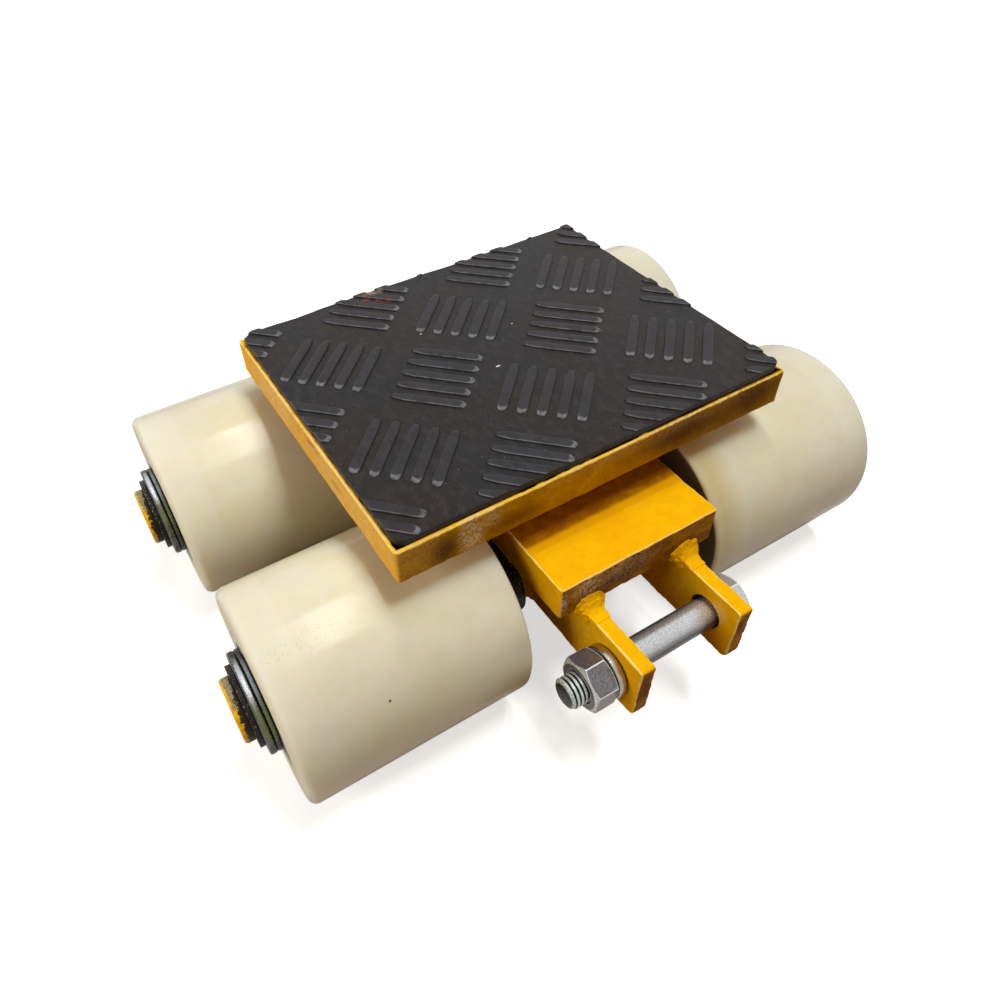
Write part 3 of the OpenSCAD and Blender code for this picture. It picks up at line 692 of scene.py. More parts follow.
def steel_finish(name, stretch):
    """Bare steel with turning lines, faintly oiled."""
    f = Finish(name, Metallic=1.0)
    lines = f.noise(0.4, 3, seed=2, stretch=stretch)
    f.start(f.ramp(lines, 0.35, 0.7), (188, 186, 184), (104, 100, 96))
    f.lay((84, 70, 50), f.ramp(f.noise(5, 3, seed=5), 0.5, 0.75), 0.5)
    return f.done(f.ramp(lines, 0.3, 0.7, 0.22, 0.36), f.bump(lines, 0.02, 0.5))


def greasy_finish():
    """Blackened spring steel with grease and dirt on it, and pale flecks as painted glints."""
    f = Finish("greasy_spring_steel", Metallic=0.1, Specular_IOR_Level=0.25)
    dirt = f.noise(1.6, 4, 0.7, 4)
    fine = f.noise(0.8, 4, 0.7, 7)
    f.start(f.ramp(dirt, 0.45, 0.7), (22, 17, 16), (72, 50, 26))
    # Painted glints: pale flecks
    f.lay((206, 206, 212), f.ramp(fine, 0.58, 0.63), f.ramp(dirt, 0.5, 0.56))
    return f.done(f.ramp(dirt, 0.3, 0.7, 0.2, 0.5), f.bump(f.plus(dirt, f.times(fine, 0.4)), 0.2, 0.9))


def axle_finish():
    """Axle bar: its end dipped in paint, rubbed to grey above and greasy below, dark in the groove."""
    f = Finish("painted_axle", Specular_IOR_Level=0.2)
    inward = f.calc("SUBTRACT", box_mm("front_axle")[1][0], f.calc("ABSOLUTE", f.axis(0)))
    blots = f.noise(1.7, 5, 0.68, 3)
    fine = f.noise(0.45, 3, seed=6)
    paint = f.mix(f.ramp(blots, 0.38, 0.62), linear(255, 200, 24), linear(226, 152, 8))
    metal = f.mix(f.ramp(fine, 0.35, 0.65), linear(186, 168, 132), linear(112, 94, 62))
    band_at = f.ramp(f.plus(f.times(inward, 0.45), blots), 0.86, 0.98)
    rubbed = f.ramp(f.plus(f.turned_to(-20), f.times(fine, 0.3)), 0.66, 0.78)
    f.colour = f.mix(f.times(band_at, rubbed), paint, metal)
    grease = f.plus(f.times(inward, 0.17), f.times(f.turned_to(80), 0.3), blots)
    f.lay((40, 28, 16), f.ramp(grease, 1.02, 1.1))
    f.lay((30, 24, 20), f.ramp(inward, 3.4, 3.8), f.ramp(inward, 110.0, 100.0))
    return f.done(f.ramp(blots, 0.3, 0.7, 0.3, 0.5), f.bump(f.plus(blots, f.times(fine, 0.4)), 0.14, 0.9))


# Load plate and frame

def load_plate(material):
    low, high = box_mm("load_plate")
    pin = drilled(pin_at[0], pin_at[1], PIN_R + 0.02, low[2], high[2], 0.3)
    shell = cut_plate(eased(rectangle(low, high), [1.8, 1.4, 1.6, 1.5]), low[2], high[2], 0.8, flat, [pin],
                      step=1.0, uneven=0.14, edge_uneven=0.55, seed=1.3, top_ease=1.0)
    fitted("steel_load_plate", [shell], "swivel_plate", "yellow_paint", material, "load_plate")


def mat_outline():
    """The mat's edge: four corners cut by hand, and a back edge that wanders."""
    points, out = dense(eased(rectangle(*box_mm("rubber_mat")), [4.5, 5.0, 1.0, 6.0], 6), 1.4)
    moved = []
    for p, n in zip(points, out):
        x, y = p[0] - pin_at[0], p[1] - pin_at[1]
        back = max(0.0, n[1])
        wave = -0.35 + 0.35 * wobble((x, y, 0), 14, 4.1) + 0.15 * wobble((x, y, 0), 4, 7.7)
        wave += back * (0.35 * math.exp(-((x + 28) / 11) ** 2) - 0.7 * math.exp(-((x + 60) / 9) ** 2)
                        - 0.3 * math.exp(-((x - 20) / 14) ** 2))
        moved.append(p + n * min(wave, 0.0))
    return moved


def tread_bar():
    """One bar of the tread along X: steep sides, a flat top and ramps at its ends, one of them worn for a painted glint
    with some rubbing.
    """
    length, width, root, height = 30.0, 4.2, 0.3, 0.72
    straight = (length - width) / 2
    plain = straight - 4.6
    rings, wear = [], []
    for z, w, back in ((-root, 2.3, 0.0), (0.02, 2.22, 0.0), (0.08, 2.12, 0.05), (0.45, 2.0, 0.35), (0.6, 1.9, 0.7),
                       (0.68, 1.74, 1.1), (0.715, 1.4, 1.5), (height, 0.8, 2.1), (height, 0.1, 2.7)):
        ring, rubbed = [], []
        for end, ramp, narrow in ((1, 1.0, 1.0), (-1, 1.6, 0.72)):
            for k in range(9):
                angle = (k / 8 - 0.5) * math.pi + (0 if end > 0 else math.pi)
                reach = straight - back * ramp
                ring.append((end * reach + narrow * w * math.cos(angle), narrow * w * math.sin(angle), z))
                # Wear marks the tip of the +X end for the painted glint with some rubbing, its sides less, and the top
                # and the other end a little
                rubbed.append(0.15 if end < 0 or z > 0.7 else 1.0 if abs(math.cos(angle)) > 0.6 else 0.3)
            ring += [(end * plain, end * w, z), (-end * plain, end * w, z)]
            rubbed += [0.0, 0.0]
        rings.append(np.array(ring))
        wear.append(np.array(rubbed) if z > 0.05 else 0.0)
    return mesh_piece("tread_bar_form", [ring_shell(rings, wear=wear)], 30)


def rubber_mat(material):
    """The sheet, and the tread's bars cut off along the sheet's edge."""
    low, high = box_mm("rubber_mat")
    sheet_top = high[2] - TREAD_H
    outline = mat_outline()
    sheet = mesh_piece("tread_rubber_mat", [cut_plate(outline, low[2], sheet_top, 0.35, flat, step=1.6, uneven=0.0,
                                                      edge_uneven=0.3, seed=2.2)])
    centre = (pin_at[0] * MM, (pin_at[1] - 1.5) * MM, sheet_top * MM)
    bars = tread_shaper(material).grow(tread_bar(), "tread_bars", Bars=5, Step=0.0073, Pitch=0.06, Shift=centre,
                                       Lean=math.pi / 4, Columns=5, Rows=5)
    bars = object_of(bars, "tread_bars", 30)
    line = [Vector((*p, low[2] + 0.6)) * MM for p in outline]
    count = len(line)
    cutter = bpy.data.meshes.new("mat_cutter")
    cutter.from_pydata(line + [p + Vector((0, 0, 6 * MM)) for p in line], [],
                       band(0, count, count) + [tuple(range(count)), tuple(range(count, 2 * count))])
    cutter = object_of(cutter, "mat_cutter")
    cut = bars.modifiers.new("trim", "BOOLEAN")
    cut.operation = "INTERSECT"
    cut.solver = "EXACT"
    cut.object = cutter
    join_into(sheet.data, settled(bars))
    bpy.data.objects.remove(cutter)
    sheet.data.shade_smooth()
    sheet.data.set_sharp_from_angle(angle=math.radians(30))
    fit(sheet, "swivel_plate", "black_rubber", material, "rubber_mat")


def beam(material):
    low, high = box_mm("beam")
    race_low, race_high = box_mm("lower_thrust_race")
    seat, race_r = race_low[2], (race_high[0] - race_low[0]) / 2 + 0.02
    hole = (pin_at[0], pin_at[1], [(low[2], PIN_R + 0.45), (low[2] + 0.4, PIN_R + 0.05), (seat, PIN_R + 0.05),
                                   (seat, race_r), (high[2], race_r)])
    shell = cut_plate(eased(rectangle(low, high), [1.6, 1.3, 1.5, 1.5]), low[2], high[2], 0.8, flat, [hole],
                      step=0.9, uneven=0.26, edge_uneven=0.8, seed=4.6, top_ease=0.6)
    fitted("frame_beam", [shell], "chassis", "yellow_paint", material, "beam")


def side_plate(side, seed, material):
    node = side + "_side_plate"
    low, high = box_mm(node)
    bolt_back, bolt_up, bolt_hole_r = 14.6, 13.6, 7.0
    holes = [drilled(low[1] + bolt_back, low[2] + bolt_up, bolt_hole_r, low[0], high[0], 0.5)]
    holes += [drilled(at[1], at[2], axle_r + 0.02, low[0], high[0], 0.2) for at in (front_axle_at, rear_axle_at)]
    shell = cut_plate(eased(rectangle(low[1:], high[1:]), [3.5, 1.0, 1.0, 1.6]), low[0], high[0], 0.7, upright,
                      holes, step=0.9, uneven=0.2, edge_uneven=0.7, seed=seed)
    fitted(side + "_ear_plate", [shell], "chassis", "yellow_paint", material, node)


# Axles, rollers and bearings

def axle(which, at, material):
    node = which + "_axle"
    end = box_mm(node)[1][0]
    groove_out, groove_in, groove_r = end - 3.9, end - 6.1, axle_r - 0.6
    half = [(end, 0.0), (end, axle_r - 0.9), (end - 0.25, axle_r - 0.45), (end - 0.9, axle_r - 0.03),
            (end - 1.6, axle_r), (end - 2.8, axle_r), (groove_out + 0.15, axle_r), (groove_out, axle_r - 0.12),
            (groove_out, groove_r), (groove_in, groove_r), (groove_in, axle_r - 0.1), (groove_in - 0.1, axle_r)]
    half += [(x, axle_r) for x in (130.0, 90.0, 60.0, 44.0, 30.0, 19.0)]
    shell = turned(half + [(-x, r) for x, r in reversed(half)], at, loop=False)
    fitted(which + "_axle_bar", [shell], "chassis", "yellow_paint", material, node)


def along_axle(node):
    """A roller piece's side, its least and greatest distance from the middle, its axis and radius."""
    low, high = box_mm(node)
    near, far = sorted((abs(low[0]), abs(high[0])))
    side = 1 if high[0] > 0 else -1
    return side, near, far, (low + high) / 2 * (0, 1, 1), (high[2] - low[2]) / 2


def roller(corner, material):
    side, near, far, centre, radius = along_axle(corner + "_roller")
    width = far - near
    seat, shoulder = 26.02, 22.02
    corners = [(0, seat), (0, radius), (width, radius), (width, seat), (width - BEARING_W, seat),
               (width - BEARING_W, shoulder), (BEARING_W, shoulder), (BEARING_W, seat)]
    section = parted(eased(corners, [0.6, 2.0, 3.5, 0.6, 0, 0.3, 0.3, 0], 9), 7)
    shell = turned([(near + a, r) for a, r in section], centre, side=side, steps=180)
    fitted(corner + "_nylon_roller", [shell], corner + "_roller", "ivory_nylon", material, corner + "_roller", 40)


def bearing_rings(corner, material):
    """Outer rings of a roller's two bearings, with their corners rounded and a groove for the balls."""
    node = corner + "_bearing_outer_rings"
    side, near, far, centre, _ = along_axle(node)
    inside, outside, ball_row_r, ball_r = 21.95, 26.0, 19.25, 4.02
    groove = [p for p in arc((BEARING_W / 2, ball_row_r), ball_r, 0, math.pi, 13) if p[1] > inside]
    section = ring_section(0, BEARING_W, inside, outside, [0.25, 0.9, 0.9, 0.25], 4) + groove
    shells = [turned([(start + a, r) for a, r in section], centre, side=side) for start in (near, far - BEARING_W)]
    fitted(corner + "_outer_rings", shells, corner + "_roller", "bare_steel", material, node)


def bearing_shields(corner, material):
    """Pressed shields with a raised bead, two on each bearing."""
    node = corner + "_bearing_shields"
    side, near, far, centre, _ = along_axle(node)
    t, apart = 0.8, 14.0
    rows = [(0.0, 16.85), (0.0, 17.4), (0.22, 17.9), (0.22, 20.2), (0.0, 20.7), (0.0, 21.6), (0.15, 21.93)]
    shells = []
    for face, out in ((near, -1), (near + apart, 1), (far - apart, -1), (far, 1)):
        section = [(face - out * d, r) for d, r in rows] + [(face - out * t, r) for _, r in reversed(rows)]
        shells.append(turned(section, centre, side=side, steps=72))
    fitted(corner + "_shields", shells, corner + "_roller", "zinc_plated_steel", material, node)


def axle_washers(name, node, t, edge, material):
    """Four washers, one on each axle end, with turned edges."""
    bore_r, outer_r = 12.526, 19.976
    start = box_mm(node)[1][0] - t
    section = ring_section(start, start + t, bore_r, outer_r, [0.2, edge, edge, 0.35], 5)
    shells = [turned(section, at * (0, 1, 1), side=side) for side in (-1, 1) for at in (front_axle_at, rear_axle_at)]
    fitted(name, shells, "chassis", "zinc_plated_steel", material, node)


def circlips(material):
    """Open spring rings with two drilled lugs at the gap, which faces down."""
    end = box_mm("axle_circlips")[1][0]
    start = end - CLIP_T
    ring_in, ring_out, lug_r, gap = 11.92, 16.0, 2.6, 2.5
    lug = np.array((ring_out - 0.8 * lug_r, gap + lug_r))
    reach = float(np.hypot(*lug))
    meet = math.acos((reach ** 2 + ring_out ** 2 - lug_r ** 2) / (2 * reach * ring_out))
    outer_from = math.atan2(lug[1], lug[0]) + meet
    outer = arc((0, 0), ring_out, outer_from, 2 * math.pi - outer_from, 64)
    bump = arc(lug, lug_r, -math.pi / 2, math.atan2(*(outer[0] - lug)[::-1]), 9)
    hole_in = math.asin(gap / ring_in)
    inner = arc((0, 0), ring_in, 2 * math.pi - hole_in, hole_in, 64)
    outline = bump[:-1] + outer[:-1] + [p * (1, -1) for p in reversed(bump)] + inner
    holes = [drilled(lug[0], s * lug[1], 1.0, start, end, 0.15) for s in (1, -1)]
    shells = []
    for side in (-1, 1):
        for at in (front_axle_at, rear_axle_at):
            def place(u, v, w, side=side, at=at):
                return np.array((side * w, at[1] + v, at[2] - u))
            shells.append(cut_plate(outline, start, end, 0.22, place, holes, step=1.2, uneven=0.0, edge_uneven=0.1,
                                    seed=side + at[1]))
    fitted("spring_circlips", shells, "chassis", "dark_steel", material, "axle_circlips")


# Tow clevis

def hex_rings(flats, start, end, bore_r, bottom=True):
    """Rings of a nut or bolt head along X, with turned corners, and how rubbed each point is."""
    steps = (-30, -29.3, -28, -24, -18, -9, 0, 9, 18, 24, 28, 29.3)
    angles = np.radians([60 * k + a for k in range(6) for a in steps])
    from_flat = np.tile(steps, 6)
    corner = np.minimum(flats / 2 / np.cos(np.radians(from_flat)), flats / math.sqrt(3) - 0.12)
    at_corner = np.where(np.abs(from_flat) > 28.5, 1.0, 0.0)
    face_r = 0.475 * flats
    drop = (corner - face_r) * math.tan(math.radians(30))
    turned_edge = [(face_r, 0.02, 0.8), (corner - 0.05, drop - 0.06, 0.5),
                   (corner, drop + 0.1, np.maximum(0.9, at_corner)), (corner, drop + 0.35, at_corner)]
    plain_edge = [(corner - 0.1, 0.0, 0.0), (corner, 0.1, at_corner)]
    rows = [(bore_r, start + 0.7, 0.0), (bore_r + 0.7, start, 0.3), (face_r - 0.4, start, 0.1)]
    rows += [(radius, start + d, rubbed) for radius, d, rubbed in (turned_edge if bottom else plain_edge)]
    rows += [(radius, end - d, rubbed) for radius, d, rubbed in reversed(turned_edge)]
    rows += [(face_r - 0.4, end, 0.1), (bore_r + 0.7, end, 0.3), (bore_r, end - 0.7, 0.0)]
    rings = [np.stack((away + 0 * angles, radius * np.cos(angles), radius * np.sin(angles)), 1)
             for radius, away, _ in rows]
    return rings, [rubbed for *_, rubbed in rows]


def rolled(rings, degrees):
    """Rings turned about X."""
    c, s = math.cos(math.radians(degrees)), math.sin(math.radians(degrees))
    return [np.stack((r[:, 0], c * r[:, 1] - s * r[:, 2], s * r[:, 1] + c * r[:, 2]), 1) for r in rings]


def clevis_bolt(material):
    low, high = box_mm("clevis_bolt")
    tip, end = low[0], high[0]
    axis = np.array((0, bolt_at[1], bolt_at[2]))
    bolt_r, under = 6.0, end - 7.5
    core = [(tip, 0.0), (tip, 3.6), (tip + 0.1, 4.4), (tip + 0.5, 5.2), (tip + 1.2, 5.95)]
    core += [(x, bolt_r) for x in np.arange(tip + 1.4, -14.0, 0.22)]
    core += [(x, bolt_r) for x in (-13.6, 0.0, 15.0, under - 0.5, under + 0.4)] + [(under + 0.4, 0.0)]
    rod = mesh_piece("bolt_rod", [turned(core, axis, steps=64, loop=False)])
    mesh = thread_shaper(material).grow(rod, "threaded_bolt", Pitch=0.00175, Depth=0.00085, Radius=bolt_r * MM,
                                        Start=(tip - 1) * MM, End=THREAD_END * MM, Centre=tuple(axis * MM))
    rings, wear = hex_rings(HEX_AF, under, end, 0, bottom=False)
    rings, wear = rolled(rings[2:-2], 8), wear[2:-2]
    dished = (rings[-1] - (0.25, 0, 0)) * (1, 0.93, 0.93)
    rings = [np.array([[under, 0, 0]])] + rings + [dished, np.array([[end - 0.25, 0, 0]])]
    head = mesh_piece("bolt_head", [ring_shell([r + axis for r in rings], wear=[0.0] + wear + [0.0, 0.0])])
    join_into(mesh, head.data)
    bpy.data.objects.remove(head)
    fit(object_of(mesh, "tow_clevis_bolt", 35), "clevis_bolt", "zinc_plated_steel", material, "clevis_bolt")


def clevis_nut(material):
    """The nut stands 1.2 mm out from its CAD place, since the spring washer isn't flat."""
    low, high = box_mm("clevis_nut")
    axis = np.array((-1.2, bolt_at[1], bolt_at[2]))
    rings, wear = hex_rings(HEX_AF, low[0], high[0], 6.02)
    shell = ring_shell([r + axis for r in rolled(rings, 5)], loop=True, wear=wear)
    fitted("hex_nut", [shell], "clevis_bolt", "zinc_plated_steel", material, "clevis_nut")


def spring_washer(material):
    """Split ring of square bar that stands a little open: its two ends are apart."""
    low, high = box_mm("clevis_spring_washer")
    inner, outer = 6.05, (high[2] - low[2]) / 2
    t, spread = 2.9, 0.7
    split, opening = math.radians(212), math.radians(11)
    section = ring_section(0, t, inner, outer, [0.25, 0.35, 0.35, 0.25], 3)
    rings = []
    for share in np.linspace(0, 1, 97):
        angle = split + opening / 2 + share * (2 * math.pi - opening)
        start = high[0] - t - spread * share
        rings.append(np.array([(start + a, bolt_at[1] + r * math.cos(angle + 0.09 * (a / t - 0.5)),
                                bolt_at[2] + r * math.sin(angle + 0.09 * (a / t - 0.5))) for a, r in section]))
    wear = [np.where(np.array([r for _, r in section]) > outer - 0.4, 0.35, 0.0)] * len(rings)
    fitted("split_spring_washer", [ring_shell(rings, wear=wear)], "clevis_bolt", "zinc_plated_steel", material,
           "clevis_spring_washer")


# Welds

def melted(mesh, name, voxel, smooth, rough, seed):
    """Melts overlapping forms into one skin, smooths it and makes it a little uneven."""
    raw = linked(name + "_raw", mesh)
    remesh = raw.modifiers.new("melt", "REMESH")
    remesh.mode = "VOXEL"
    remesh.voxel_size = voxel * MM
    soften = raw.modifiers.new("soften", "SMOOTH")
    soften.factor = 0.6
    soften.iterations = smooth
    skin = settled(raw)
    for vertex in skin.vertices:
        spot = vertex.co / MM
        lift = rough * (wobble(spot, 2.2, seed) + 0.6 * wobble(spot, 0.9, seed + 2))
        vertex.co += vertex.normal * lift * MM
    skin.attributes.new("wear", "FLOAT", "POINT")
    return object_of(skin, name, 80)


def ear_welds(material):
    """Where each ear leaves the beam: a fan on the beam's face, a hollow neck and a run down each side."""
    front, under = box_mm("beam")[0][1], box_mm("beam")[0][2]
    ear_low, ear_high = box_mm("right_side_plate")
    middle, half = (ear_low[0] + ear_high[0]) / 2, (ear_high[0] - ear_low[0]) / 2
    shells = []
    for side, seed in ((-1, 3.1), (1, 7.4)):
        rings = []
        for out in np.linspace(-0.7, 8.2, 81):
            d = max(out, 0.0)
            bead = 1 + 0.05 * math.sin(d * 2.4 + seed)
            wide = half + 0.18 + 3.6 * math.exp(-(d / 2.5) ** 1.7) * bead
            tall = 0.1 + 5.9 * math.exp(-(d / 2.7) ** 1.3) * bead
            run = 0.2 + 2.6 * math.exp(-(d / 4.2) ** 2.4)
            ring = []
            for t in np.linspace(0, 2 * math.pi, 96, endpoint=False):
                across, up = wide * math.cos(t), (tall if math.sin(t) > 0 else run) * math.sin(t)
                spot = (across + side * 40, d, up)
                lump = 1 + 0.16 * wobble(spot, 3.2, seed) + 0.11 * wobble(spot, 1.4, seed + 2)
                lump += 0.05 * wobble(spot, 0.7, seed + 4)
                fold = 0.35 * math.exp(-((t - 1.1) / 0.16) ** 2) + 0.3 * math.exp(-((t - 2.2) / 0.2) ** 2)
                lump += fold * 0.18 * math.exp(-(d / 3.0) ** 2) - 0.07 * math.exp(-((t - 1.6) / 0.3) ** 2) * min(1, d)
                ring.append((side * middle - across * lump, front - out, under + up * lump))
            rings.append(np.array(ring))
        shells.append(ring_shell(rings))
        for face in (-1, 1):
            centre = np.array((side * middle + face * half, front - 1.5, under - 2.6))
            rings = []
            for v in np.linspace(0, math.pi, 25):
                ring = []
                for u in np.linspace(0, 2 * math.pi, 40 if 0.01 < v < 3.13 else 1, endpoint=False):
                    way = np.array((math.sin(v) * math.cos(u), math.sin(v) * math.sin(u), math.cos(v)))
                    lump = 1 + 0.12 * wobble(way * 2.2, 1.0, seed + face) + 0.05 * wobble(way * 6, 1.0, seed)
                    ring.append(centre + way * lump * (1.35, 3.1, 3.0))
                rings.append(np.array(ring))
            shells.append(ring_shell(rings))
    fitted("ear_weld_fillets", shells, "chassis", "yellow_paint", material, "ear_welds", 60)


def side_welds(material):
    """Rippled fillets under the beam along both side plates."""
    low, high = box_mm("side_plate_welds")
    shaper = weld_shaper(material)
    step = 2.1
    beads = []
    for side in (-1, 1):
        form = bmesh.new()
        tilt = Matrix.Rotation(side * math.radians(45), 4, "Y")
        bmesh.ops.create_icosphere(form, subdivisions=2, radius=1.0,
                                   matrix=tilt @ Matrix.Diagonal((2.6 * MM, 1.75 * MM, 1.7 * MM, 1)))
        mesh = bpy.data.meshes.new("ripple_form")
        form.to_mesh(mesh)
        form.free()
        start = (side * (SIDE_FACE + 0.9) * MM, (low[1] + 2) * MM, (high[2] - 0.9) * MM)
        beads.append(shaper.grow(linked("ripple_form", mesh), "ripples", Start=start, Step=(0, step * MM, 0),
                                 Ripples=int((high[1] - low[1] - 4) / step), Seed=3 + side))
    join_into(*beads)
    piece = melted(beads[0], "side_weld_beads", 0.5, 2, 0.1, 5.0)
    fit(piece, "chassis", "yellow_paint", material, "side_plate_welds")


def axle_welds(material):
    """Hollow rippled fillets where the axles leave the side plates, run out at their lower ends."""
    leg, root_r = 4.6, axle_r - 0.8
    shells = []
    for side in (-1, 1):
        for n, at in enumerate((front_axle_at, rear_axle_at)):
            rings = []
            for share in np.linspace(0, 1, 121):
                angle = math.radians(-24 + 228 * share)
                ripple = 1 + 0.05 * math.sin(share * 150 + n) + 0.1 * wobble((share * 20, n, side), 1.0, 2)
                size = leg * ripple * min(1.0, 0.25 + 9 * min(share, 1 - share))
                hollow = [(size * (1 - math.cos(bend)) + 0.12, axle_r + size * (1 - math.sin(bend)) + 0.05)
                          for bend in np.linspace(0, math.pi / 2, 9)]
                section = [(-0.6, root_r), (0.0, axle_r + size)] + hollow + [(size, root_r)]
                rings.append(np.array([(side * (SIDE_FACE + a), at[1] + r * math.cos(angle),
                                        at[2] + r * math.sin(angle)) for a, r in section]))
            shells.append(ring_shell(rings))
    fitted("axle_weld_fillets", shells, "chassis", "yellow_paint", material, "axle_welds", 50)


# Swivel

def on_pin(section, steps=96, loop=True):
    """Shell turned about the king pin. The section holds (height, radius)."""
    return turned(section, pin_at * (1, 1, 0), along="z", steps=steps, loop=loop)


def race(node, body, groove_up, material):
    """A race of the thrust bearing, with its ball groove above or below."""
    low, high = box_mm(node)
    outer, ball_r, ball_row_r, ball_row_z = (high[0] - low[0]) / 2, 3.55, 27.5, 88.0
    arc_end = 2 * math.pi if groove_up else 0
    groove = [(z, r) for r, z in arc((ball_row_r, ball_row_z), ball_r, math.pi, arc_end, 17) if low[2] < z < high[2]]
    back, front = (low[2], high[2]) if groove_up else (high[2], low[2])
    ring = [tuple(p) for p in ring_section(back, front, 22.5, outer, [0.5, 0.8, 0.5, 0.5], 3)]
    fitted(node + "_ring", [on_pin(ring[:12] + groove[::-1] + ring[12:], 128)], body, "bare_steel", material, node)


def king_pin(material):
    low, high = box_mm("king_pin")
    shoulder_low, shoulder_high, shoulder_r = 90.8, 95.0, 22.45
    profile = [(low[2], 0.0), (low[2], PIN_R - 1.4), (low[2] + 1.2, PIN_R - 0.1), (low[2] + 1.4, PIN_R), (62.0, PIN_R),
               (shoulder_low, PIN_R), (shoulder_low, shoulder_r - 0.25), (shoulder_low + 0.3, shoulder_r),
               (shoulder_high, shoulder_r), (shoulder_high, PIN_R), (high[2] - 0.3, PIN_R), (high[2], PIN_R - 0.3),
               (high[2], 0.0)]
    fitted("swivel_king_pin", [on_pin(profile, loop=False)], "swivel_plate", "bare_steel", material, "king_pin")


def king_pin_washer(material):
    low, high = box_mm("king_pin_washer")
    section = ring_section(low[2], high[2], PIN_R + 0.03, (high[0] - low[0]) / 2, [0.3, 0.7, 0.5, 0.3], 4)
    fitted("swivel_washer", [on_pin(section)], "swivel_plate", "zinc_plated_steel", material, "king_pin_washer")


def king_pin_nut(material):
    low, high = box_mm("king_pin_nut")
    rings, wear = hex_rings(30.0, low[2], high[2], PIN_R + 0.03)
    rings = [np.stack((r[:, 1] + pin_at[0], r[:, 2] + pin_at[1], r[:, 0]), 1) for r in rings]
    fitted("swivel_nut", [ring_shell(rings, loop=True, wear=wear)], "swivel_plate", "zinc_plated_steel", material,
           "king_pin_nut")


def tube_along(path, radius, steps=10):
    """A round wire along a path of points, with closed ends."""
    path = [Vector(p) for p in path]
    side = Vector((1, 0, 0))
    rings = []
    for i, p in enumerate(path):
        ahead = (path[min(i + 1, len(path) - 1)] - path[max(i - 1, 0)]).normalized()
        side = (side - ahead * side.dot(ahead)).normalized()
        other = ahead.cross(side)
        size = radius * (0.55 if i in (0, len(path) - 1) else 1.0)
        rings.append(np.array([p + size * (math.cos(a) * side + math.sin(a) * other)
                               for a in np.linspace(0, 2 * math.pi, steps, endpoint=False)]))
    return ring_shell(rings)


def split_pin(material):
    """Split pin through the king pin: an eye at one end, two legs opened at the other."""
    low, high = box_mm("king_pin_split_pin")
    x, z = pin_at[0], (low[2] + high[2]) / 2
    eye_y, tail_y, bend_y = low[1] + 2.4, high[1], pin_at[1] + 9.5
    eye = [(x, *p) for p in arc((eye_y + 1.4, z), 1.95, math.radians(40), math.radians(320), 22)]
    legs = []
    for side, shorter in ((1, 0.0), (-1, 1.6)):
        leg = [(x, eye_y + 3.6, z + side * 1.15), (x, eye_y + 4.6, z + side * 0.98),
               (x, pin_at[1], z + side * 0.97), (x, bend_y, z + side * 0.97)]
        leg += [(x, bend_y + (tail_y - shorter - bend_y) * t, z + side * (0.97 + t ** 2))
                for t in np.linspace(0.2, 1, 8)]
        legs.append(leg)
    wire = tube_along(legs[0][::-1] + eye + legs[1], 0.95)
    fitted("swivel_split_pin", [wire], "swivel_plate", "zinc_plated_steel", material, "king_pin_split_pin", 60)


# Stage, lamps and camera

def seen_white(tree):
    """An emptied tree, the camera's own rays, and the rays that see the stage as white."""
    n = Nodes(tree)
    tree.nodes.clear()
    path = n.add("ShaderNodeLightPath").outputs
    return n, path["Is Camera Ray"], n.most(path["Is Camera Ray"], path["Is Glossy Ray"], path["Is Transmission Ray"])


def stage():
    """A floor and a world that look white, and throw little, warm light back on the piece."""
    pale = bpy.data.materials.new("pale_floor")
    pale.use_nodes = True
    n, straight, shown = seen_white(pale.node_tree)
    soft = n.add("ShaderNodeBsdfDiffuse", {"Color": (0.25, 0.14, 0.035, 1)})
    white = n.add("ShaderNodeBsdfDiffuse", {"Color": (0.86, 0.86, 0.86, 1)})
    away = n.vector("LENGTH", n.add("ShaderNodeTexCoord").outputs["Object"]).outputs["Value"]
    glow = n.add("ShaderNodeEmission", {"Color": (1, 1, 1, 1),
                                        "Strength": n.times(straight, n.ramp(away, 0.45, 1.3, 0.62, 1.1))})
    both = n.add("ShaderNodeAddShader", {0: white, 1: glow})
    n.add("ShaderNodeOutputMaterial", {0: n.add("ShaderNodeMixShader", {0: shown, 1: soft, 2: both})})
    reach = 6.0
    mesh = bpy.data.meshes.new("studio_floor")
    mesh.from_pydata([(*p, 0) for p in rectangle((-reach, -reach), (reach, reach))], [], [(0, 1, 2, 3)])
    mesh.materials.append(pale)
    linked("studio_floor", mesh)
    world = bpy.data.worlds.new("studio")
    bpy.context.scene.world = world
    world.use_nodes = True
    n, _, shown = seen_white(world.node_tree)
    dim = n.add("ShaderNodeBackground", {"Color": (1.0, 0.86, 0.62, 1), "Strength": 0.075})
    white = n.add("ShaderNodeBackground", {"Color": (1, 1, 1, 1), "Strength": 1.0})
    n.add("ShaderNodeOutputWorld", {0: n.add("ShaderNodeMixShader", {0: shown, 1: dim, 2: white})})


def lamp(name, at, towards, size, power, colour, mirrored=False):
    data = bpy.data.lights.new(name, "AREA")
    data.shape = "RECTANGLE"
    data.size, data.size_y = size
    data.energy = power
    data.color = colour
    light = linked(name, data)
    light.location = at
    light.rotation_euler = (Vector(towards) - Vector(at)).to_track_quat("-Z", "Y").to_euler()
    light.visible_glossy = mirrored


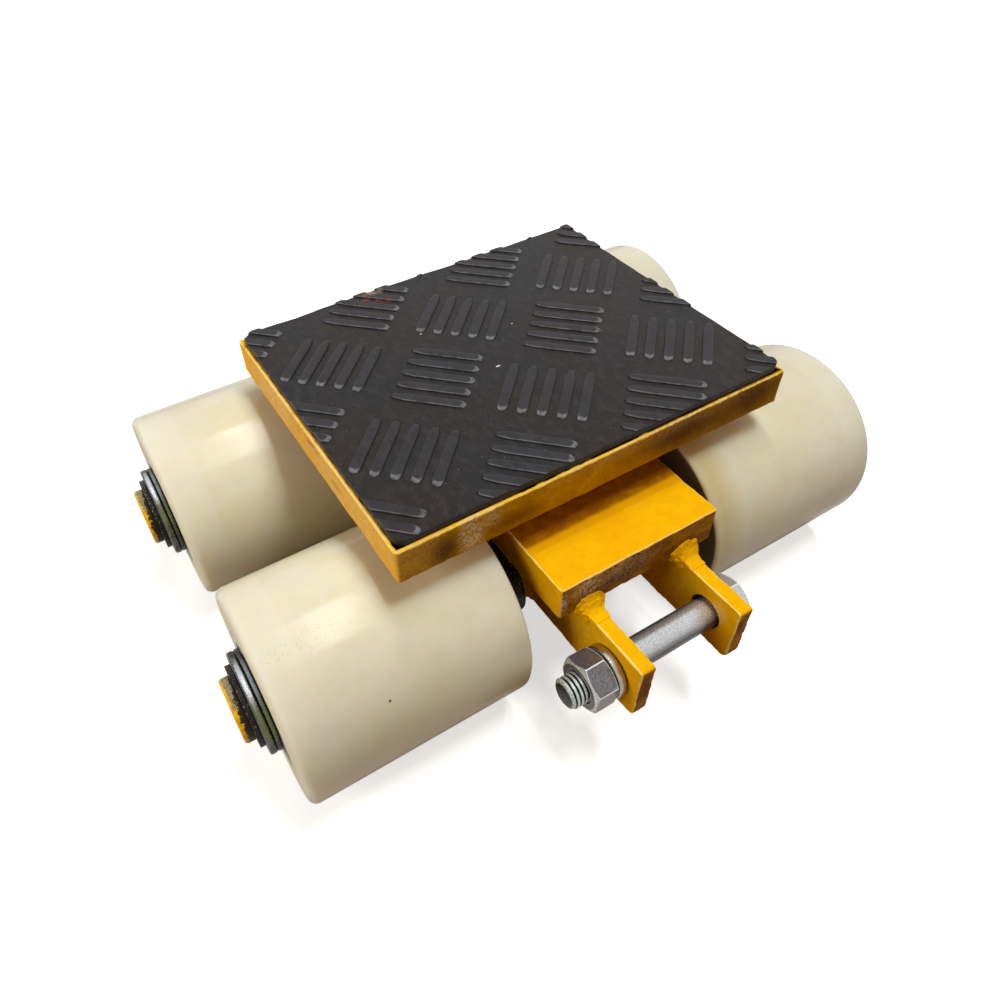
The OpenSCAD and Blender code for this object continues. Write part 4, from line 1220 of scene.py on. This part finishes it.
def lamps():
    """Ceiling tubes side by side, one of them mirrored, and soft panels on the left and in front."""
    warm = (1.0, 0.985, 0.95)
    lamp("front_tube", (0.3, -0.3, 1.5), (0.1, -0.15, 0), (0.5, 0.05), 7.6, warm)
    lamp("middle_tube", (0.1, -0.05, 1.5), (0.07, -0.05, 0), (1.0, 0.055), 2.7, warm)
    lamp("shine_tube", (0.1, -0.05, 1.49), (0.07, -0.05, 0), (1.0, 0.035), 3.1, warm, True)
    lamp("rear_tube", (0.2, 0.135, 1.5), (0.05, 0.1, 0), (0.5, 0.05), 2.9, warm)
    lamp("left_panel", (-1.3, 0.14, 0.58), (0, 0.02, 0.05), (0.9, 0.8), 9.8, (1.0, 0.97, 0.92))
    lamp("front_panel", (0.1, -1.05, 1.2), (0, 0, 0.05), (1.2, 0.5), 2.0, (1.0, 0.95, 0.84))


def camera():
    data = bpy.data.cameras.new("photo_camera")
    data.lens = 28.2854
    data.sensor_fit = "HORIZONTAL"
    data.sensor_width = 36.0
    data.shift_x = 0.050256
    data.shift_y = -0.008357
    data.clip_start = 0.01
    view = linked("photo_camera", data)
    view.location = (-0.14543, -0.20449, 0.29589)
    view.rotation_euler = tuple(math.radians(a) for a in (44.451, 1.88805, -31.0875))
    bpy.context.scene.camera = view


def dress_cad_nodes(steel, greasy):
    """Balls, cages, inner rings, spacer tubes and collars keep their CAD shapes."""
    kept = ["thrust_balls", "thrust_ball_cage", "bearing_inner_rings", "bearing_spacer_tubes", "axle_collars"]
    kept += [c + "_bearing_balls" for c in CORNERS] + [c + "_ball_cages" for c in CORNERS]
    for name in kept:
        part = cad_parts[name]
        part.data.materials.clear()
        # The collars take the dark greasy finish as painted shade in the gap between the rollers and the beam
        part.data.materials.append(greasy if name == "axle_collars" else steel)


def plates():
    """Load plate, mat, beam and side plates, painted with rubs and dirt, with painted shade, highlights, sheen and
    reflections, and the load plate's painted shadow on the beam.
    """
    plate_low, beam_low, beam_high = box_mm("load_plate")[0], *box_mm("beam")
    left, front, nose = plate_low[0], plate_low[1], beam_low[1]
    brown, dull = (92, 56, 8), (150, 92, 6)
    load_plate(paint_finish(
        "plate_paint", streaks=(3, 3, 1), wear=0.5, side_shade_and_grime=0.15, tow_face_shade_and_crust=0.45,
        # Pale specks on the face towards the tow end, painted sheen on the left face
        spots=[((-57, front, 102.5), 8, 1.0, (0.8, 1, 1.5)), ((-49, front, 106), 6, 0.5, (1, 1, 1)),
               ((20, front, 108), 26, 0.15, (2.2, 1, 0.2)), ((left, -20, 105), 30, 0.4, (1, 2.0, 0.6)),
               ((left, 40, 104), 24, 0.5, (1, 1.5, 0.6))],
        chips=[((left, 4, 107), 5, (1, 1.8, 0.4)), ((left, -14, 102), 4, (1, 1.8, 0.4))],
        # Painted reflections of dark surroundings on the face towards the tow end
        patches=[((-67, front, 101), 9, (0.9, 1, 1.2), brown), ((-40, front, 100), 10, (1.6, 1, 0.6), dull),
                 ((36, front, 103), 20, (1.9, 1, 0.6), brown), ((70, front, 104), 18, (1.4, 1, 0.8), brown)]))
    rubber_mat(rubber_finish())
    beam(paint_finish(
        "beam_paint", streaks=(3, 1, 1), wear=0.6, side_shade_and_grime=0.25, tow_face_shade_and_crust=0.9,
        spots=[((-24, nose, 77), 8, 0.9, (1.2, 0.2, 1)), ((-8, nose, 77), 12, 0.4, (2, 0.1, 0.8)),
               ((-34, nose, 74), 4, 0.8, (0.6, 0.4, 2))],
        patches=[((-12, nose, 72), 9, (2.2, 1, 0.6), brown), ((22, nose, 70), 8, (1.6, 1, 0.6), brown)],
        # The load plate's painted shadow on the beam's top
        under=(front - 1.4, beam_high[2] - 0.5)))
    ear_paint = paint_finish("ear_paint", streaks=(1, 2, 1), wear=0.6, side_shade_and_grime=0.15, tow_face_shade_and_crust=1.0,
                             # Painted sheen on the ears' side faces
                             spots=[((-25.6, -100, 54), 9, 0.22, (1, 1, 1)), ((25.6, -100, 52), 10, 0.2, (1, 1, 1)),
                                    ((19.3, -106, 57), 5, 0.6, (1, 1, 1))])
    side_plate("left", 6.1, ear_paint)
    side_plate("right", 8.3, ear_paint)


def main():
    # The thick washers, thin washers and shields carry painted reflections with a painted highlight band
    zinc = zinc_finish("zinc_plating", (244, 246, 252), (198, 204, 212), 0.2, dark_reflection=(68, 68, 64))
    bright_zinc = zinc_finish("bright_zinc", (176, 180, 184), (128, 130, 132))
    grey_zinc = zinc_finish("dulled_zinc", (176, 186, 188), (112, 120, 120), 0.2, dark_reflection=(48, 52, 50))
    bolt_zinc = zinc_finish("bolt_zinc", (112, 112, 116), (58, 58, 62), 0.1, (0.2, 0.36), 0.6,
                            bolt_tip=box_mm("clevis_bolt")[0][0])
    nut_zinc = zinc_finish("nut_zinc", (132, 128, 134), (58, 60, 68), 0.25, (0.2, 0.38), 0.55, specks=(176, 172, 170))
    washer_zinc = zinc_finish("washer_zinc", (176, 186, 184), (116, 126, 124), 0.2, rim=(164, 146, 126))
    steel = steel_finish("bearing_steel", (1, 30, 30))
    race_steel = steel_finish("race_steel", (30, 30, 1))
    greasy = greasy_finish()
    weld_paint = paint_finish("weld_paint", wear=0.0, side_shade_and_grime=0.22)
    axle_paint = axle_finish()
    nylon = nylon_finish()

    plates()
    axle("front", front_axle_at, axle_paint)
    axle("rear", rear_axle_at, axle_paint)
    for corner in CORNERS:
        roller(corner, nylon)
        bearing_rings(corner, steel)
        bearing_shields(corner, grey_zinc)
    axle_washers("thin_washers", "inner_washers", 2.0, 0.5, grey_zinc)
    axle_washers("thick_washers", "outer_washers", 3.0, 0.9, zinc)
    circlips(greasy)
    clevis_bolt(bolt_zinc)
    clevis_nut(nut_zinc)
    spring_washer(washer_zinc)
    ear_welds(weld_paint)
    side_welds(weld_paint)
    axle_welds(weld_paint)
    race("lower_thrust_race", "chassis", True, race_steel)
    race("upper_thrust_race", "swivel_plate", False, race_steel)
    king_pin(race_steel)
    king_pin_washer(bright_zinc)
    king_pin_nut(nut_zinc)
    split_pin(bright_zinc)
    dress_cad_nodes(steel, greasy)
    stage()
    lamps()
    camera()
    bpy.context.scene.view_settings.view_transform = "Standard"


main()
